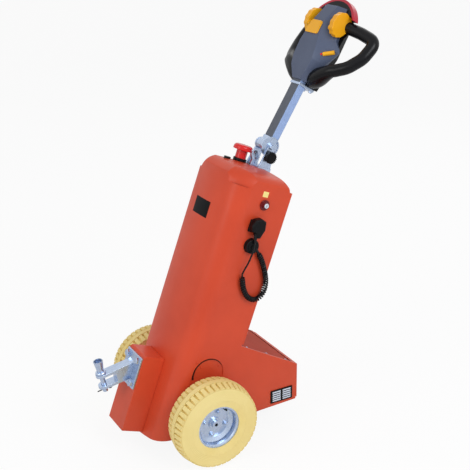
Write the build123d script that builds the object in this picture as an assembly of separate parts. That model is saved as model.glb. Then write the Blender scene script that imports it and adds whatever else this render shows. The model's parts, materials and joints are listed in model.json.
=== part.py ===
"""Pedestrian electric tow tractor: two driven wheels, a hidden rear castor, a leaning
battery column, a tow jaw in front and a tiller with a control head.

Millimetres and degrees. While it is modelled, the origin is the middle of the wheel axle,
+X points forward to the tow jaw, +Y to the machine's left and +Z up. Three working frames:
the base frame; the column frame, leaned back about the axle; and the tiller frame, leaned
back further about the tiller pivot. Before export, the whole model is shifted so that its
origin is on the ground under the middle of its box.
"""
from build123d import *
import math
import os

# Wheels
TYRE_D = 260.0          # tyre 3.00-4
TYRE_W = 85.0
TRACK = 400.0           # between the wheels' middle planes
BEAD_R = 60.0           # where the tyre sits on the rim barrel
FLANGE_R = 65.0
RIM_W = 70.0
RIM_WALL = 3.0
LUGS = 45               # on each shoulder of a tyre
LUG_W = 10.5
LUG_H = 8.0
LUG_END = 4.0           # from the sidewall to the lugs' outer ends
LUG_FALL = 5.5          # of a lug's top towards its outer end
LUG_GROOVE = 2.0        # between the middle rib and the lugs
RIB_HALF = 8.0          # half width of the middle rib
DISC_Y = 4.0            # rim disc, outwards of the wheel's middle plane
DISC_T = 4.0
HUB_R = 44.0            # hub flange
HUB_T = 7.0
SHAFT_R = 12.0
STUD_CIRCLE = 35.5
STUD_R = 3.5
STUD_H = 9.0            # beyond the disc
NUT_R = 7.0
NUT_H = 5.0
STUDS = 4
STUD_TURN = 18.0        # of the first stud, from the front
RUN_GAP = 0.05          # radial running clearance of a shaft

# Body, in the column frame
LEAN = 20.6             # of the column, from the vertical
FRONT = 128.0           # foremost line of the bowed front
BOW = 26.0              # how far the front is bowed over the full width
REAR = -64.4            # rear edge of the side panels
HALF = 131.0            # half the body's width
WALL = 3.0
CREASE = 697.0          # where the side panels meet the crown
CROWN = 724.0           # top of the crown
CORNER_R = 58.0         # of the front corners, seen along the column
ROLL_R = 55.0           # of the crown's front and rear, seen from the side
EDGE_R = 9.0            # of the crown's side edges
SHOULDER = (91.0, 717.0)  # where the crown's shoulders end, y and z
SHOULDER_MID = (117.0, 708.5)
DOME_X = -10.0          # axis of the round cap that trims the crown's corners
DOME_R = 152.0
DOME_EDGE = 50.0
REAR_LIP = 16.0         # return flange of the side panels along the rear opening
REAR_LOW = 217.0        # lower edge of the rear cover

# Rear box, in the base frame
BOX_TOP = (-137.0, 175.0)
BOX_BACK = (-327.0, 67.6)
BOX_FLOOR = -55.0       # lower edge at the back
BELLY = -70.0           # lower edge at the front
COVER_T = 2.5
COVER_STEP = 9.0        # how far the rear covers stand proud
COVER_INSET = 3.0       # of the covers from the side faces
LID_X = (-208.0, -8.0)  # sunk lid on the sloping top, along the slope
LID_HALF = 124.0
LID_SINK = 2.0

# Nose box, in the column frame
NOSE_FRONT = 193.0
NOSE_HALF = 49.0
NOSE_LOW = -117.0
NOSE_TOP = 118.0
NOSE_ROLL = 10.0        # of its upper front edge

# Arch opening in the side panels, in the column frame
ARCH_X = 19.0
ARCH_Z = 114.0
ARCH_R = 51.0
ARCH_LAP = 12.0         # of the plate behind it
ARCH_T = 6.0

# Floor and castor, in the base frame
FLOOR_Z = -58.0         # top of the floor plate
FLOOR_T = 4.0
RAISE_X = -134.0        # where the floor steps up for the castor
RAISE_Z = -27.0         # underside of the raised floor
CASTOR_X = -212.0       # swivel axis
CASTOR_TRAIL = 28.0
CASTOR_R = 40.0
CASTOR_W = 30.0
CASTOR_AXLE_R = 5.0
CASTOR_GAP = 5.0        # between wheel and fork
FORK_T = 4.0
PLATE_SIDE = 84.0
PLATE_T = 4.0
RACE_R = 26.0
RACE_H = 9.0

# Masses inside
CASE_R = 50.0
CASE_W = 96.0
AXLE_TUBE_R = 24.0
MOTOR_R = 52.0
MOTOR_X = 32.0
MOTOR_TOP = 236.0
PACK_X = (-54.0, 94.0)
PACK_HALF = 88.0
PACK_H = 300.0

# Axle bearing housings
HOUSING_R = 29.0
HOUSING_T = 6.0
SLEEVE_R = 21.0
SLEEVE_END = 150.0      # from the middle of the machine

# Tow jaw
JAW_DROOP = 10.0        # below the horizontal, forwards
JAW_PIN = (251.5, 112.0)  # pin axis half-way between the ears, base frame
JAW_H = 46.0            # over both ears
JAW_W = 34.0
EAR_T = 9.0
JAW_WEB = 38.0          # from the pin axis back to the web
HITCH_T = 6.0
HITCH_Z = (13.0, 110.0)  # plate, column frame
HITCH_HALF = 46.0
PIN_R = 7.5
PIN_FIT = 0.5
PIN_TAIL = 14.0         # below the lower ear
CUP_R = (10.0, 14.0)    # head of the pin, foot and mouth
CUP_H = 42.0
CUP_WALL = 2.5
CLIP_R = 1.6

# Top of the column
STOP_X = 33.0
STOP_Y = -27.0
STOP_HEAD_R = 28.5
STOP_HEAD_H = 15.0
STOP_TOP = 773.0
STOP_STEM_R = 16.5
STOP_COLLAR_R = 20.0
STOP_COLLAR_H = 9.0
CAP_X = 78.0
CAP_Y = -24.0
CAP_R = 10.0
CAP_H = 5.0

# Tiller
PIVOT_X = -21.0         # column frame
PIVOT_Z = 791.0
TILLER_LEAN = 32.0      # from the vertical, at rest
DISC_R = 29.5           # index disc, which turns with the tiller
DISC_Y0 = (20.0, 26.0)
HOLE_R = 2.5            # index holes
HOLE_CIRCLE = 24.0
HOLE_TURNS = (130.0, 147.5, 165.0, 182.5, 200.0)
NEAR_PLATE_Y = (26.3, 31.3)
STRAP_R = 11.0          # end of the near plate, round the pivot
POST_R = 15.0           # of the near plate, round the index knob
DISC_FAR_R = 18.0       # far cheek
CHEEK_T = 6.0
FAR_CHEEK_Y = 26.3      # inner face of the far cheek
FOOT_GAP = 0.3
FOOT_R = 17.5
PIVOT_R = 7.0
TUBE_W = 40.0
TUBE_D = 26.0
TUBE_H = -7.0           # tube axis, along the tiller frame's X
TUBE_LOW = 28.0
TUBE_TOP = 262.0
TUBE_WALL = 3.0
KNOB_R = 16.5
KNOB_DROP = 29.0        # below the pivot
KNOB_STEM_R = 5.0
KNOB_Y = (38.0, 49.0)
LINK = (12.0, 755.0)    # eye of the locking link, column frame
LINK_Y = (4.0, 12.0)

# Control head, in the tiller frame
HEAD_SECTIONS = (
    (212.0, 40.0, -14.0, 12.0, 20.0),
    (248.0, 46.0, -14.0, 22.0, 42.0),
    (276.0, 62.0, -15.0, 26.0, 48.0),
    (322.0, 93.0, -22.0, 32.0, 42.0),
    (350.0, 68.0, -8.0, 34.0, 34.0),
    (396.0, 60.0, -2.0, 30.0, 26.0),
    (446.0, 54.0, -2.0, 12.0, 27.0),
)                       # s, half width, h of the edge, h of the crown, half width of the crown
SHELL_BASE = -26.0      # joint between the grey shell and the black base
BASE_SECTIONS = (
    (205.0, 38.0, 30.0, -14.0, -56.0),
    (250.0, 42.0, 32.0, -18.0, -60.0),
    (310.0, 72.0, 44.0, -24.0, -60.0),
    (395.0, 86.0, 58.0, -18.0, -46.0),
    (436.0, 84.0, 60.0, -18.0, -40.0),
)                       # s, half width above and below, h above and below
CLAMP_H = (-50.0, 8.0)  # strap that holds the head on the tube
CLAMP_HALF = 24.0
CLAMP_S = (197.0, 204.5)
LOOP_R = 18.0
LOOP_PATH = ((44.0, 241.0), (100.0, 260.0), (140.0, 290.0), (162.0, 330.0), (166.0, 388.0),
             (112.0, 398.0), (50.0, 402.0))    # distance from the middle, along the tiller
LOOP_BENDS = (80.0, 70.0, 60.0, 30.0, 100.0)
LOOP_PLANE = (-26.0, 330.0, 100.0)   # h, s and distance from the middle of a point on it
LOOP_SLOPE = (-0.2, -0.4)            # of h along the tiller, and outwards
SLEEVE_LOOP_R = 21.5    # thicker root of a loop
BOW_HALF = 100.0        # red bow over the head
BOW_TOP = 476.0
BOW_FOOT = 419.0
BOW_BAND = 8.0
BOW_REACH = (-26.0, -6.0)
THROTTLE_H = 8.0
THROTTLE_S = 395.0
THROTTLE_R = 38.0
THROTTLE_Y = (54.0, 88.0)
THROTTLE_CUT = (-12.0, 402.0, 26.0)  # h, s and radius of the hollow round the loop
THROTTLE_STUB = (18.0, 378.0, 8.0)
PAD = ((386.0, -24.0, 23.0), (346.0, -36.0, 28.0))   # s, and both ends across
PAD_H = (25.0, 36.5)
BUTTON = ((60.0, 6.0, 301.0), (84.0, -10.0, 318.0))  # ends on the near wing: y, h, s
BUTTON_R = 6.0

# Near side
KEY = (11.0, 637.0)     # column frame, x and z
KEY_R = 15.0
KEY_T = 4.0
GLAND = (15.0, 515.0)
GLAND_R = 21.0
GLAND_T = 14.0
HOLDER = (22.6, 572.5)
HOLDER_W = 36.0
HOLDER_H = 36.0
HOLDER_T = 6.0
PLUG_T = 22.0
PLUG_EDGE = 4.0
VENT_X = (-313.0, -236.0)
VENT_Z = (-46.0, -4.0)
VENT_T = 3.0
VENT_ROWS = 5

CORD_R = 2.5
CURL_R = 6.8
CURL_Y = 142.0
LEAD_Y = 153.0
CURL_PATH = ((-177.0, 481.0), (-188.0, 462.0), (-199.0, 438.0), (-208.0, 405.0), (-213.0, 371.0),
             (-206.0, 341.0), (-190.0, 324.0), (-170.0, 321.0), (-150.0, 334.0), (-138.0, 358.0),
             (-134.0, 385.0), (-133.5, 410.0))
LEAD_PATH = ((-133.0, 147.0, 416.0), (-138.0, 150.0, 428.0), (-150.0, LEAD_Y, 448.0),
             (-163.0, LEAD_Y, 474.0), (-171.0, 151.0, 500.0), (-175.5, 149.0, 526.0))

COLUMN = Rot(0, -LEAN, 0)
TILLER = COLUMN * Pos(PIVOT_X, 0, PIVOT_Z) * Rot(0, LEAN - TILLER_LEAN, 0)
FAR = 900.0
SIDES = (("left", 1), ("right", -1))


def base_point(xc, zc):
    """Point of the column frame, in the base frame."""
    c, s = math.cos(math.radians(LEAN)), math.sin(math.radians(LEAN))
    return (xc * c - zc * s, xc * s + zc * c)


def on_column_line(xc, z):
    """X in the base frame of the column line at xc, at height z."""
    c, s = math.cos(math.radians(LEAN)), math.sin(math.radians(LEAN))
    return (xc - z * s) / c


def box(x, y, z):
    """Box between pairs of limits."""
    size = (x[1] - x[0], y[1] - y[0], z[1] - z[0])
    return Pos(sum(x) / 2, sum(y) / 2, sum(z) / 2) * Box(*size)


def rod(radius, start, end):
    """Cylinder from one point to another."""
    a, b = Vector(*start), Vector(*end)
    plane = Plane(origin=a, z_dir=(b - a).normalized())
    return extrude(plane * Circle(radius), amount=(b - a).length)


def lathe_y(points):
    """Turned piece about the Y axis, from a closed outline of (radius, y) points."""
    outline = make_face(Polyline(*[(r, y, 0) for r, y in points], close=True))
    return revolve(outline, Axis.Y)


def side_profile(inset, drop):
    """Side outline of the body as a face in XZ, with its walls moved in by inset."""
    c, s = math.cos(math.radians(LEAN)), math.sin(math.radians(LEAN))
    slope = math.atan2(BOX_TOP[1] - BOX_BACK[1], BOX_TOP[0] - BOX_BACK[0])
    belly = math.atan2(BELLY - BOX_FLOOR, on_column_line(FRONT, BELLY) - BOX_BACK[0])
    lines = (
        ((on_column_line(FRONT, BELLY), BELLY), (math.sin(belly), -math.cos(belly)), -drop),
        (base_point(FRONT, 0), (c, s), inset),
        (base_point(0, CROWN), (-s, c), inset),
        (base_point(REAR, 0), (-c, -s), inset),
        (BOX_TOP, (-math.sin(slope), math.cos(slope)), inset),
        (BOX_BACK, (-1.0, 0.0), inset),
    )                   # a point, the outward normal, how far the line moves in
    corners = []
    for i, (p, n, d) in enumerate(lines):
        q, m, e = lines[i - 1]
        det = n[0] * m[1] - n[1] * m[0]
        f = n[0] * p[0] + n[1] * p[1] - d
        g = m[0] * q[0] + m[1] * q[1] - e
        corners.append(((f * m[1] - g * n[1]) / det, (g * n[0] - f * m[0]) / det))
    face = make_face(Polyline(*[(x, z) for x, z in corners], close=True))
    tops = face.vertices().sort_by(Axis.Y)[-2:]
    return fillet(tops, ROLL_R - inset)


def body_volume(inset=0.0, drop=0.0):
    """The body as a solid: side outline, plan outline and cambered crown, intersected."""
    half = HALF - inset
    side = extrude(Plane.XZ * side_profile(inset, drop), amount=FAR, both=True)
    front = FRONT - inset
    plan = make_face([
        Line((front - BOW, half), (-FAR, half)),
        Line((-FAR, half), (-FAR, -half)),
        Line((-FAR, -half), (front - BOW, -half)),
        ThreePointArc((front - BOW, -half), (front, 0), (front - BOW, half)),
    ])
    plan = fillet(plan.vertices().sort_by(Axis.X)[-2:], CORNER_R - inset)
    edge, top = CREASE - inset, CROWN - inset
    (ys, zs), (ym, zm) = SHOULDER, SHOULDER_MID
    crown = make_face([
        Line((-half, -FAR), (half, -FAR)),
        Line((half, -FAR), (half, edge)),
        ThreePointArc((half, edge), (ym - inset, zm - inset), (ys - inset, zs - inset)),
        ThreePointArc((ys - inset, zs - inset), (0, top), (inset - ys, zs - inset)),
        ThreePointArc((inset - ys, zs - inset), (inset - ym, zm - inset), (-half, edge)),
        Line((-half, edge), (-half, -FAR)),
    ])
    edges = [v for v in crown.vertices() if abs(v.Y - edge) < 0.01]
    crown = fillet(edges, EDGE_R - inset)
    plan = COLUMN * Pos(0, 0, -FAR) * extrude(plan, amount=2 * FAR)
    crown = COLUMN * extrude(Plane.YZ * crown, amount=FAR, both=True)
    cap = rod(DOME_R - inset, (0, 0, -FAR), (0, 0, top))
    cap = COLUMN * Pos(DOME_X, 0, 0) * fillet(cap.edges().sort_by(Axis.Z)[-1:], DOME_EDGE - inset)
    reach = COLUMN * box((-FAR, FAR), (-FAR, FAR), (-FAR, CROWN - DOME_EDGE))
    return side & plan & crown & (cap + reach)


def arch_shape(radius, y0, y1):
    """Inverted U along the column, between two planes across the machine."""
    top = Pos(ARCH_X, ARCH_Z) * Circle(radius)
    legs = Pos(ARCH_X, ARCH_Z - FAR / 2) * Rectangle(2 * radius, FAR)
    solid = extrude(Plane.XZ * (top + legs), amount=-(y1 - y0))
    return COLUMN * Pos(0, y0, 0) * solid


def column_shell(outer):
    """Bent sheet of the column, with the side panels of the rear box in one piece."""
    shell = outer - body_volume(WALL, 60.0)
    lip = HALF - REAR_LIP
    shell -= COLUMN * box((REAR - 40, REAR + 2 * WALL), (-lip, lip),
                          (REAR_LOW + 8, CREASE - 30))
    slope = slope_plane()
    shell -= slope * box(LID_X, (-LID_HALF, LID_HALF), (-2 * WALL, 20.0))
    back = BOX_BACK[0]
    shell -= box((back - 20, back + 2 * WALL), (-lip, lip), (BOX_FLOOR + 18, BOX_BACK[1] - 14))
    shell -= box((VENT_X[0] + 4, VENT_X[1] - 4), (HALF - 2 * WALL, HALF + 1),
                 (VENT_Z[0] + 4, VENT_Z[1] - 4))
    for _, side in SIDES:
        low, high = sorted((side * (HALF - 2 * WALL), side * (HALF + 1)))
        shell -= arch_shape(ARCH_R, low, high)
    return shell


def slope_plane():
    """Frame of the rear box's sloping top: X runs down and back to front, Z outwards."""
    slope = math.degrees(math.atan2(BOX_TOP[1] - BOX_BACK[1], BOX_TOP[0] - BOX_BACK[0]))
    return Pos(BOX_TOP[0], 0, BOX_TOP[1]) * Rot(0, -slope, 0)


def tray(x, y, z, wall):
    """Shallow lid open towards +X, between pairs of limits."""
    inner = box((x[0] + wall, x[1] + 1), (y[0] + wall, y[1] - wall), (z[0] + wall, z[1] - wall))
    return box(x, y, z) - inner


def make_covers():
    """Rear cover of the column and the two covers of the rear box."""
    half = HALF - COVER_INSET
    column = COLUMN * tray((REAR - COVER_STEP, REAR), (-half, half), (REAR_LOW, CREASE - 11),
                           COVER_T)
    top = slope_plane() * box(LID_X, (-LID_HALF, LID_HALF), (-LID_SINK - COVER_T, -LID_SINK))
    back = tray((BOX_BACK[0] - 7.0, BOX_BACK[0]), (-half, half),
                (BOX_FLOOR + 3, BOX_BACK[1] - 4), COVER_T)
    return {"rear_cover": column, "box_top_cover": top, "box_rear_cover": back}


def nose_box(outer):
    """Square nose that carries the tow jaw, open to the column's front."""
    start = FRONT - BOW
    shape = box((start, NOSE_FRONT), (-NOSE_HALF, NOSE_HALF), (NOSE_LOW, NOSE_TOP))
    hollow = box((start - 1, NOSE_FRONT - WALL), (-NOSE_HALF + WALL, NOSE_HALF - WALL),
                 (NOSE_LOW + WALL, NOSE_TOP - WALL))
    front_edge = shape.edges().filter_by(Axis.Y).group_by(Axis.X)[-1].sort_by(Axis.Z)[-1]
    shape = fillet(front_edge, NOSE_ROLL)
    inner_edge = hollow.edges().filter_by(Axis.Y).group_by(Axis.X)[-1].sort_by(Axis.Z)[-1]
    hollow = fillet(inner_edge, NOSE_ROLL - WALL)
    return (COLUMN * (shape - hollow) - outer).solids().sort_by(SortBy.VOLUME)[-1]


def floor_plate():
    """Floor with a step up over the castor, cut to the inside of the shell."""
    low = FLOOR_Z - FLOOR_T
    flat = box((RAISE_X, FAR), (-FAR, FAR), (low, FLOOR_Z))
    riser = box((RAISE_X - FLOOR_T, RAISE_X), (-FAR, FAR), (low, RAISE_Z + FLOOR_T))
    raised = box((-FAR, RAISE_X), (-FAR, FAR), (RAISE_Z, RAISE_Z + FLOOR_T))
    return body_volume(WALL, 60.0) & (flat + riser + raised)


def arch_plates():
    """Plates behind the arches, which carry the axle housings."""
    inner = HALF - WALL
    above = body_volume(WALL) & box((-FAR, FAR), (-FAR, FAR), (FLOOR_Z, FAR))
    plates = {}
    for name, side in SIDES:
        low, high = sorted((side * (inner - ARCH_T), side * inner))
        plate = arch_shape(ARCH_R + ARCH_LAP, low, high) & above
        bore = rod(SHAFT_R + 6, (0, low - 1, 0), (0, high + 1, 0))
        plates[f"arch_plate_{name}"] = plate - bore
    return plates


def axle_housings():
    """Bearing housings on the arch plates, bored for the wheel shafts."""
    inner = HALF - WALL
    housings = {}
    for name, side in SIDES:
        piece = lathe_y([
            (SHAFT_R + RUN_GAP, inner), (HOUSING_R, inner), (HOUSING_R, inner + HOUSING_T),
            (SLEEVE_R + 3, inner + HOUSING_T + 3), (SLEEVE_R, SLEEVE_END),
            (SHAFT_R + RUN_GAP, SLEEVE_END),
        ])
        housings[f"axle_housing_{name}"] = piece if side > 0 else mirror(piece, about=Plane.XZ)
    return housings


def masses():
    """Drive unit and battery pack, closed inside, as plain blocks."""
    end = HALF - WALL - ARCH_T
    drive = rod(CASE_R, (0, -CASE_W / 2, 0), (0, CASE_W / 2, 0))
    drive += rod(AXLE_TUBE_R, (0, -end, 0), (0, end, 0))
    drive += COLUMN * rod(MOTOR_R, (MOTOR_X, 0, 0), (MOTOR_X, 0, MOTOR_TOP))
    pack = COLUMN * box(PACK_X, (-PACK_HALF, PACK_HALF), (MOTOR_TOP, MOTOR_TOP + PACK_H))
    low = box((-FAR, FAR), (-FAR, FAR), (FLOOR_Z, FAR))
    return {"drive_unit": drive & low, "battery_pack": pack}


def lug_ring():
    """Toothed ring about the Y axis: the lugs of one shoulder, sloping down outwards."""
    r, start, end = TYRE_D / 2 - 0.3, RIB_HALF + LUG_GROOVE, TYRE_W / 2 - LUG_END
    low = r - LUG_H
    top, foot = LUG_W / 2 / r, LUG_W / 2 / low + 0.012
    outline = []
    for i in range(LUGS):
        turn = 2 * math.pi * i / LUGS
        for radius, a in ((low, -foot), (r, -top), (r, top), (low, foot)):
            outline.append((radius * math.cos(turn + a), radius * math.sin(turn + a)))
    face = make_face(Polyline(*outline, close=True)) - Circle(low - 12)
    ring = Pos(0, start, 0) * extrude(Plane.XZ * face, amount=start - end)
    flat = r * math.cos(top) - 0.1
    slope = loft([
        Plane(origin=(0, y, 0), x_dir=(1, 0, 0), z_dir=(0, 1, 0)) * RegularPolygon(
            flat - fall, LUGS, major_radius=False, rotation=180 / LUGS)
        for y, fall in ((start, 0.0), (end, LUG_FALL))], ruled=True)
    return ring & slope


def tyre():
    """Tyre about the Y axis, middle plane at Y = 0: carcass, middle rib and shoulder lugs."""
    r, w = TYRE_D / 2, TYRE_W / 2
    seat = RIM_W / 2 - 6
    low = r - LUG_H - 0.6
    side = ((BEAD_R, seat), (FLANGE_R, seat + 2), (FLANGE_R, seat + 8), (BEAD_R + 20, w - 3),
            (BEAD_R + 28, w), (r - 24, w), (low, w - LUG_END), (low, RIB_HALF), (r, RIB_HALF))
    outline = Polyline(*side, *[(x, -y) for x, y in reversed(side)], close=True)
    lugs = lug_ring()
    far = Rot(0, 180.0 / LUGS, 0) * mirror(lugs, about=Plane.XZ)
    return revolve(make_face(outline), Axis.Y) + lugs + far


def rim():
    """Pressed rim: barrel with flanges and a dished disc, bored for the studs."""
    w = RIM_W / 2
    barrel = lathe_y([
        (BEAD_R, -w + 6), (BEAD_R, w - 6), (FLANGE_R, w - 4), (FLANGE_R, w), (BEAD_R, w),
        (BEAD_R - RIM_WALL, w - 4), (BEAD_R - RIM_WALL, -w + 4), (BEAD_R, -w), (FLANGE_R, -w),
        (FLANGE_R, -w + 4),
    ])
    disc = lathe_y([
        (SHAFT_R, DISC_Y), (HUB_R + 2, DISC_Y), (BEAD_R - RIM_WALL, DISC_Y + 6),
        (BEAD_R - RIM_WALL, DISC_Y + 6 + DISC_T), (HUB_R + 1, DISC_Y + DISC_T),
        (SHAFT_R, DISC_Y + DISC_T),
    ])
    return barrel + disc - [rod(STUD_R, *stud(DISC_Y, DISC_Y + DISC_T, i)) for i in range(STUDS)]


def stud(start, end, i):
    """Ends of a stud of the wheel, between two heights along its axis."""
    turn = math.radians(STUD_TURN + 360.0 * i / STUDS)
    x, z = STUD_CIRCLE * math.cos(turn), STUD_CIRCLE * math.sin(turn)
    return (x, start, z), (x, end, z)


def hub():
    """Hub flange on its shaft, with a stepped boss, and studs with nuts through the disc."""
    inner = SLEEVE_END + 6 - TRACK / 2
    tail = HALF - WALL - TRACK / 2 + 1
    face = DISC_Y + DISC_T
    body = lathe_y([
        (0, tail), (SHAFT_R, tail), (SHAFT_R, inner), (SLEEVE_R + 3, inner),
        (SLEEVE_R + 3, DISC_Y - HUB_T), (HUB_R, DISC_Y - HUB_T), (HUB_R, DISC_Y),
        (SHAFT_R, DISC_Y), (SHAFT_R, face), (18.5, face), (18.5, face + 5), (12, face + 5),
        (12, face + 12), (5, face + 12), (5, face + 8), (0, face + 8),
    ])
    for i in range(STUDS):
        body += rod(STUD_R, *stud(DISC_Y - 1, face + STUD_H, i))
        spot, _ = stud(face, face, i)
        body += Pos(*spot) * extrude(Plane.XZ * RegularPolygon(NUT_R, 6), amount=-NUT_H)
    return body


def make_wheels():
    """Both wheels, each of tyre, rim and hub."""
    nodes = {}
    for name, side in SIDES:
        for part, shape in (("tyre", tyre()), ("rim", rim()), ("hub", hub())):
            place = Pos(0, TRACK / 2, 0) * shape
            nodes[f"{part}_{name}"] = place if side > 0 else mirror(place, about=Plane.XZ)
    return nodes


def make_castor():
    """Swivel castor under the raised floor."""
    axle_z = CASTOR_R - TYRE_D / 2
    top = RAISE_Z
    x0 = CASTOR_X
    s = PLATE_SIDE / 2
    plate = box((x0 - s, x0 + s), (-s, s), (top - PLATE_T, top))
    race = rod(RACE_R, (x0, 0, top - PLATE_T - 5), (x0, 0, top - PLATE_T))
    plate += race
    fork_top = top - PLATE_T - 5.3
    crown_low = axle_z + CASTOR_R + CASTOR_GAP - FORK_T
    wheel_x = x0 - CASTOR_TRAIL
    gap = CASTOR_W / 2 + CASTOR_GAP
    outer = gap + FORK_T
    fork = rod(RACE_R - 3, (x0, 0, crown_low), (x0, 0, fork_top))
    fork += box((wheel_x - 12, x0 + RACE_R), (-outer, outer), (crown_low, crown_low + FORK_T))
    for _, side in SIDES:
        low, high = sorted((side * gap, side * outer))
        leg = make_face(Polyline((wheel_x - 12, axle_z), (wheel_x - 12, crown_low + FORK_T),
                                 (x0 + RACE_R, crown_low + FORK_T), (wheel_x + 12, axle_z),
                                 close=True))
        leg += Pos(wheel_x, axle_z) * Circle(12)
        fork += Pos(0, low, 0) * extrude(Plane.XZ * leg, amount=-(high - low))
    axle = rod(CASTOR_AXLE_R, (wheel_x, -outer, axle_z), (wheel_x, outer, axle_z))
    fork -= axle
    bolt = rod(CASTOR_AXLE_R, (wheel_x, -outer - 4, axle_z), (wheel_x, outer + 4, axle_z))
    w = CASTOR_W / 2
    tread = lathe_y([
        (CASTOR_AXLE_R + RUN_GAP, -w - 3), (12, -w - 3), (12, -w + 4), (CASTOR_R - 10, -w + 3),
        (CASTOR_R - 3, -w), (CASTOR_R, -w + 5), (CASTOR_R, w - 5), (CASTOR_R - 3, w),
        (CASTOR_R - 10, w - 3), (12, w - 4), (12, w + 3), (CASTOR_AXLE_R + RUN_GAP, w + 3),
    ])
    return {
        "castor_plate": plate,
        "castor_fork": fork,
        "castor_axle": bolt,
        "castor_wheel": Pos(wheel_x, 0, axle_z) * tread,
    }


def make_hitch():
    """Mounting plate, jaw, pin and clip."""
    plate = COLUMN * box((NOSE_FRONT, NOSE_FRONT + HITCH_T), (-HITCH_HALF, HITCH_HALF), HITCH_Z)
    place = Pos(JAW_PIN[0], 0, JAW_PIN[1]) * Rot(0, JAW_DROOP, 0)
    behind = COLUMN * box((-FAR, NOSE_FRONT + HITCH_T), (-FAR, FAR), (-FAR, FAR))
    h, w = JAW_H / 2, JAW_W / 2
    outline = Circle(w) + Pos(-FAR / 4, 0) * Rectangle(FAR / 2, JAW_W)
    block = Pos(0, 0, -h) * extrude(outline, amount=JAW_H)
    gap = box((-JAW_WEB, w + 1), (-w - 1, w + 1), (-h + EAR_T, h - EAR_T))
    bore = rod(PIN_R + PIN_FIT, (0, 0, -h - 1), (0, 0, h + 1))
    jaw = place * (block - gap - bore) - behind
    tail = -h - PIN_TAIL
    pin = rod(PIN_R, (0, 0, tail), (0, 0, h))
    cup = revolve(make_face(Polyline(
        (0, 0, h), (CUP_R[0], 0, h), (CUP_R[0], 0, h + 10), (CUP_R[1], 0, h + CUP_H),
        (CUP_R[1] - CUP_WALL, 0, h + CUP_H), (CUP_R[0] - CUP_WALL, 0, h + 12),
        (0, 0, h + 12), close=True)), Axis.Z)
    clip_z = -h - PIN_TAIL / 2
    hole = rod(CLIP_R, (-PIN_R - 1, 0, clip_z), (PIN_R + 1, 0, clip_z))
    leg = rod(CLIP_R, (-PIN_R - 5, 0, clip_z), (PIN_R + 16, 0, clip_z))
    ring = Pos(-PIN_R - 9, 0, clip_z) * Rot(90, 0, 0) * Torus(5, CLIP_R)
    return {
        "hitch_plate": plate,
        "hitch_jaw": jaw,
        "hitch_pin": place * (pin + cup - hole),
        "hitch_clip": place * (leg + ring),
    }


def make_top(outer):
    """Stop switch and cap on the crown."""
    low = CROWN - 12
    collar = COLUMN * Pos(STOP_X, STOP_Y, 0) * rod(STOP_COLLAR_R, (0, 0, low),
                                                  (0, 0, CROWN + STOP_COLLAR_H)) - outer
    neck = STOP_TOP - STOP_HEAD_H
    knob = rod(STOP_STEM_R, (0, 0, CROWN + STOP_COLLAR_H), (0, 0, neck))
    head = rod(STOP_HEAD_R, (0, 0, neck), (0, 0, STOP_TOP))
    knob += fillet(head.edges().sort_by(Axis.Z)[-1:], STOP_HEAD_H * 0.6)
    cap = COLUMN * rod(CAP_R, (CAP_X, CAP_Y, low), (CAP_X, CAP_Y, CROWN + CAP_H)) - outer
    return {
        "stop_collar": collar,
        "stop_knob": COLUMN * Pos(STOP_X, STOP_Y, 0) * knob,
        "top_cap": cap,
    }


def far_cheek():
    """Far upright of the bracket, with a round head."""
    half = DISC_FAR_R - 5
    face = Pos(PIVOT_X, PIVOT_Z) * Circle(DISC_FAR_R)
    face += make_face(Polyline(
        (PIVOT_X - half, PIVOT_Z - 12), (PIVOT_X + half, PIVOT_Z - 12),
        (PIVOT_X + 28, CROWN + 4), (PIVOT_X + 28, CROWN - 20), (PIVOT_X - 10, CROWN - 20),
        (PIVOT_X - 10, CROWN + 4), close=True))
    return Pos(0, -FAR_CHEEK_Y - CHEEK_T, 0) * extrude(Plane.XZ * face, amount=-CHEEK_T)


def near_plate():
    """Near upright: a round boss for the index knob, with a strap up to the pivot."""
    x, z = PIVOT_X - 1, PIVOT_Z - KNOB_DROP
    face = Pos(PIVOT_X, PIVOT_Z) * Circle(STRAP_R) + Pos(x, z) * Circle(POST_R)
    face += make_face(Polyline(
        (PIVOT_X - STRAP_R, PIVOT_Z), (PIVOT_X + STRAP_R, PIVOT_Z), (x + POST_R, z),
        (x + POST_R + 8, CROWN), (x + POST_R + 8, CROWN - 20), (x - POST_R - 4, CROWN - 20),
        (x - POST_R - 4, CROWN), (x - POST_R, z), close=True))
    low, high = NEAR_PLATE_Y
    return Pos(0, low, 0) * extrude(Plane.XZ * face, amount=low - high)


def tiller_bracket(outer):
    """Two uprights on a base plate, welded to the crown, with the pivot bolt."""
    far, high = -FAR_CHEEK_Y - CHEEK_T, NEAR_PLATE_Y[1]
    base = box((PIVOT_X - 20, LINK[0] - 8), (far, high + 3), (CROWN - 20, CROWN + 5))
    bolt = rod(PIVOT_R, (PIVOT_X, far - 5, PIVOT_Z), (PIVOT_X, high + 5, PIVOT_Z))
    return COLUMN * (near_plate() + far_cheek() + base + bolt) - outer


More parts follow.
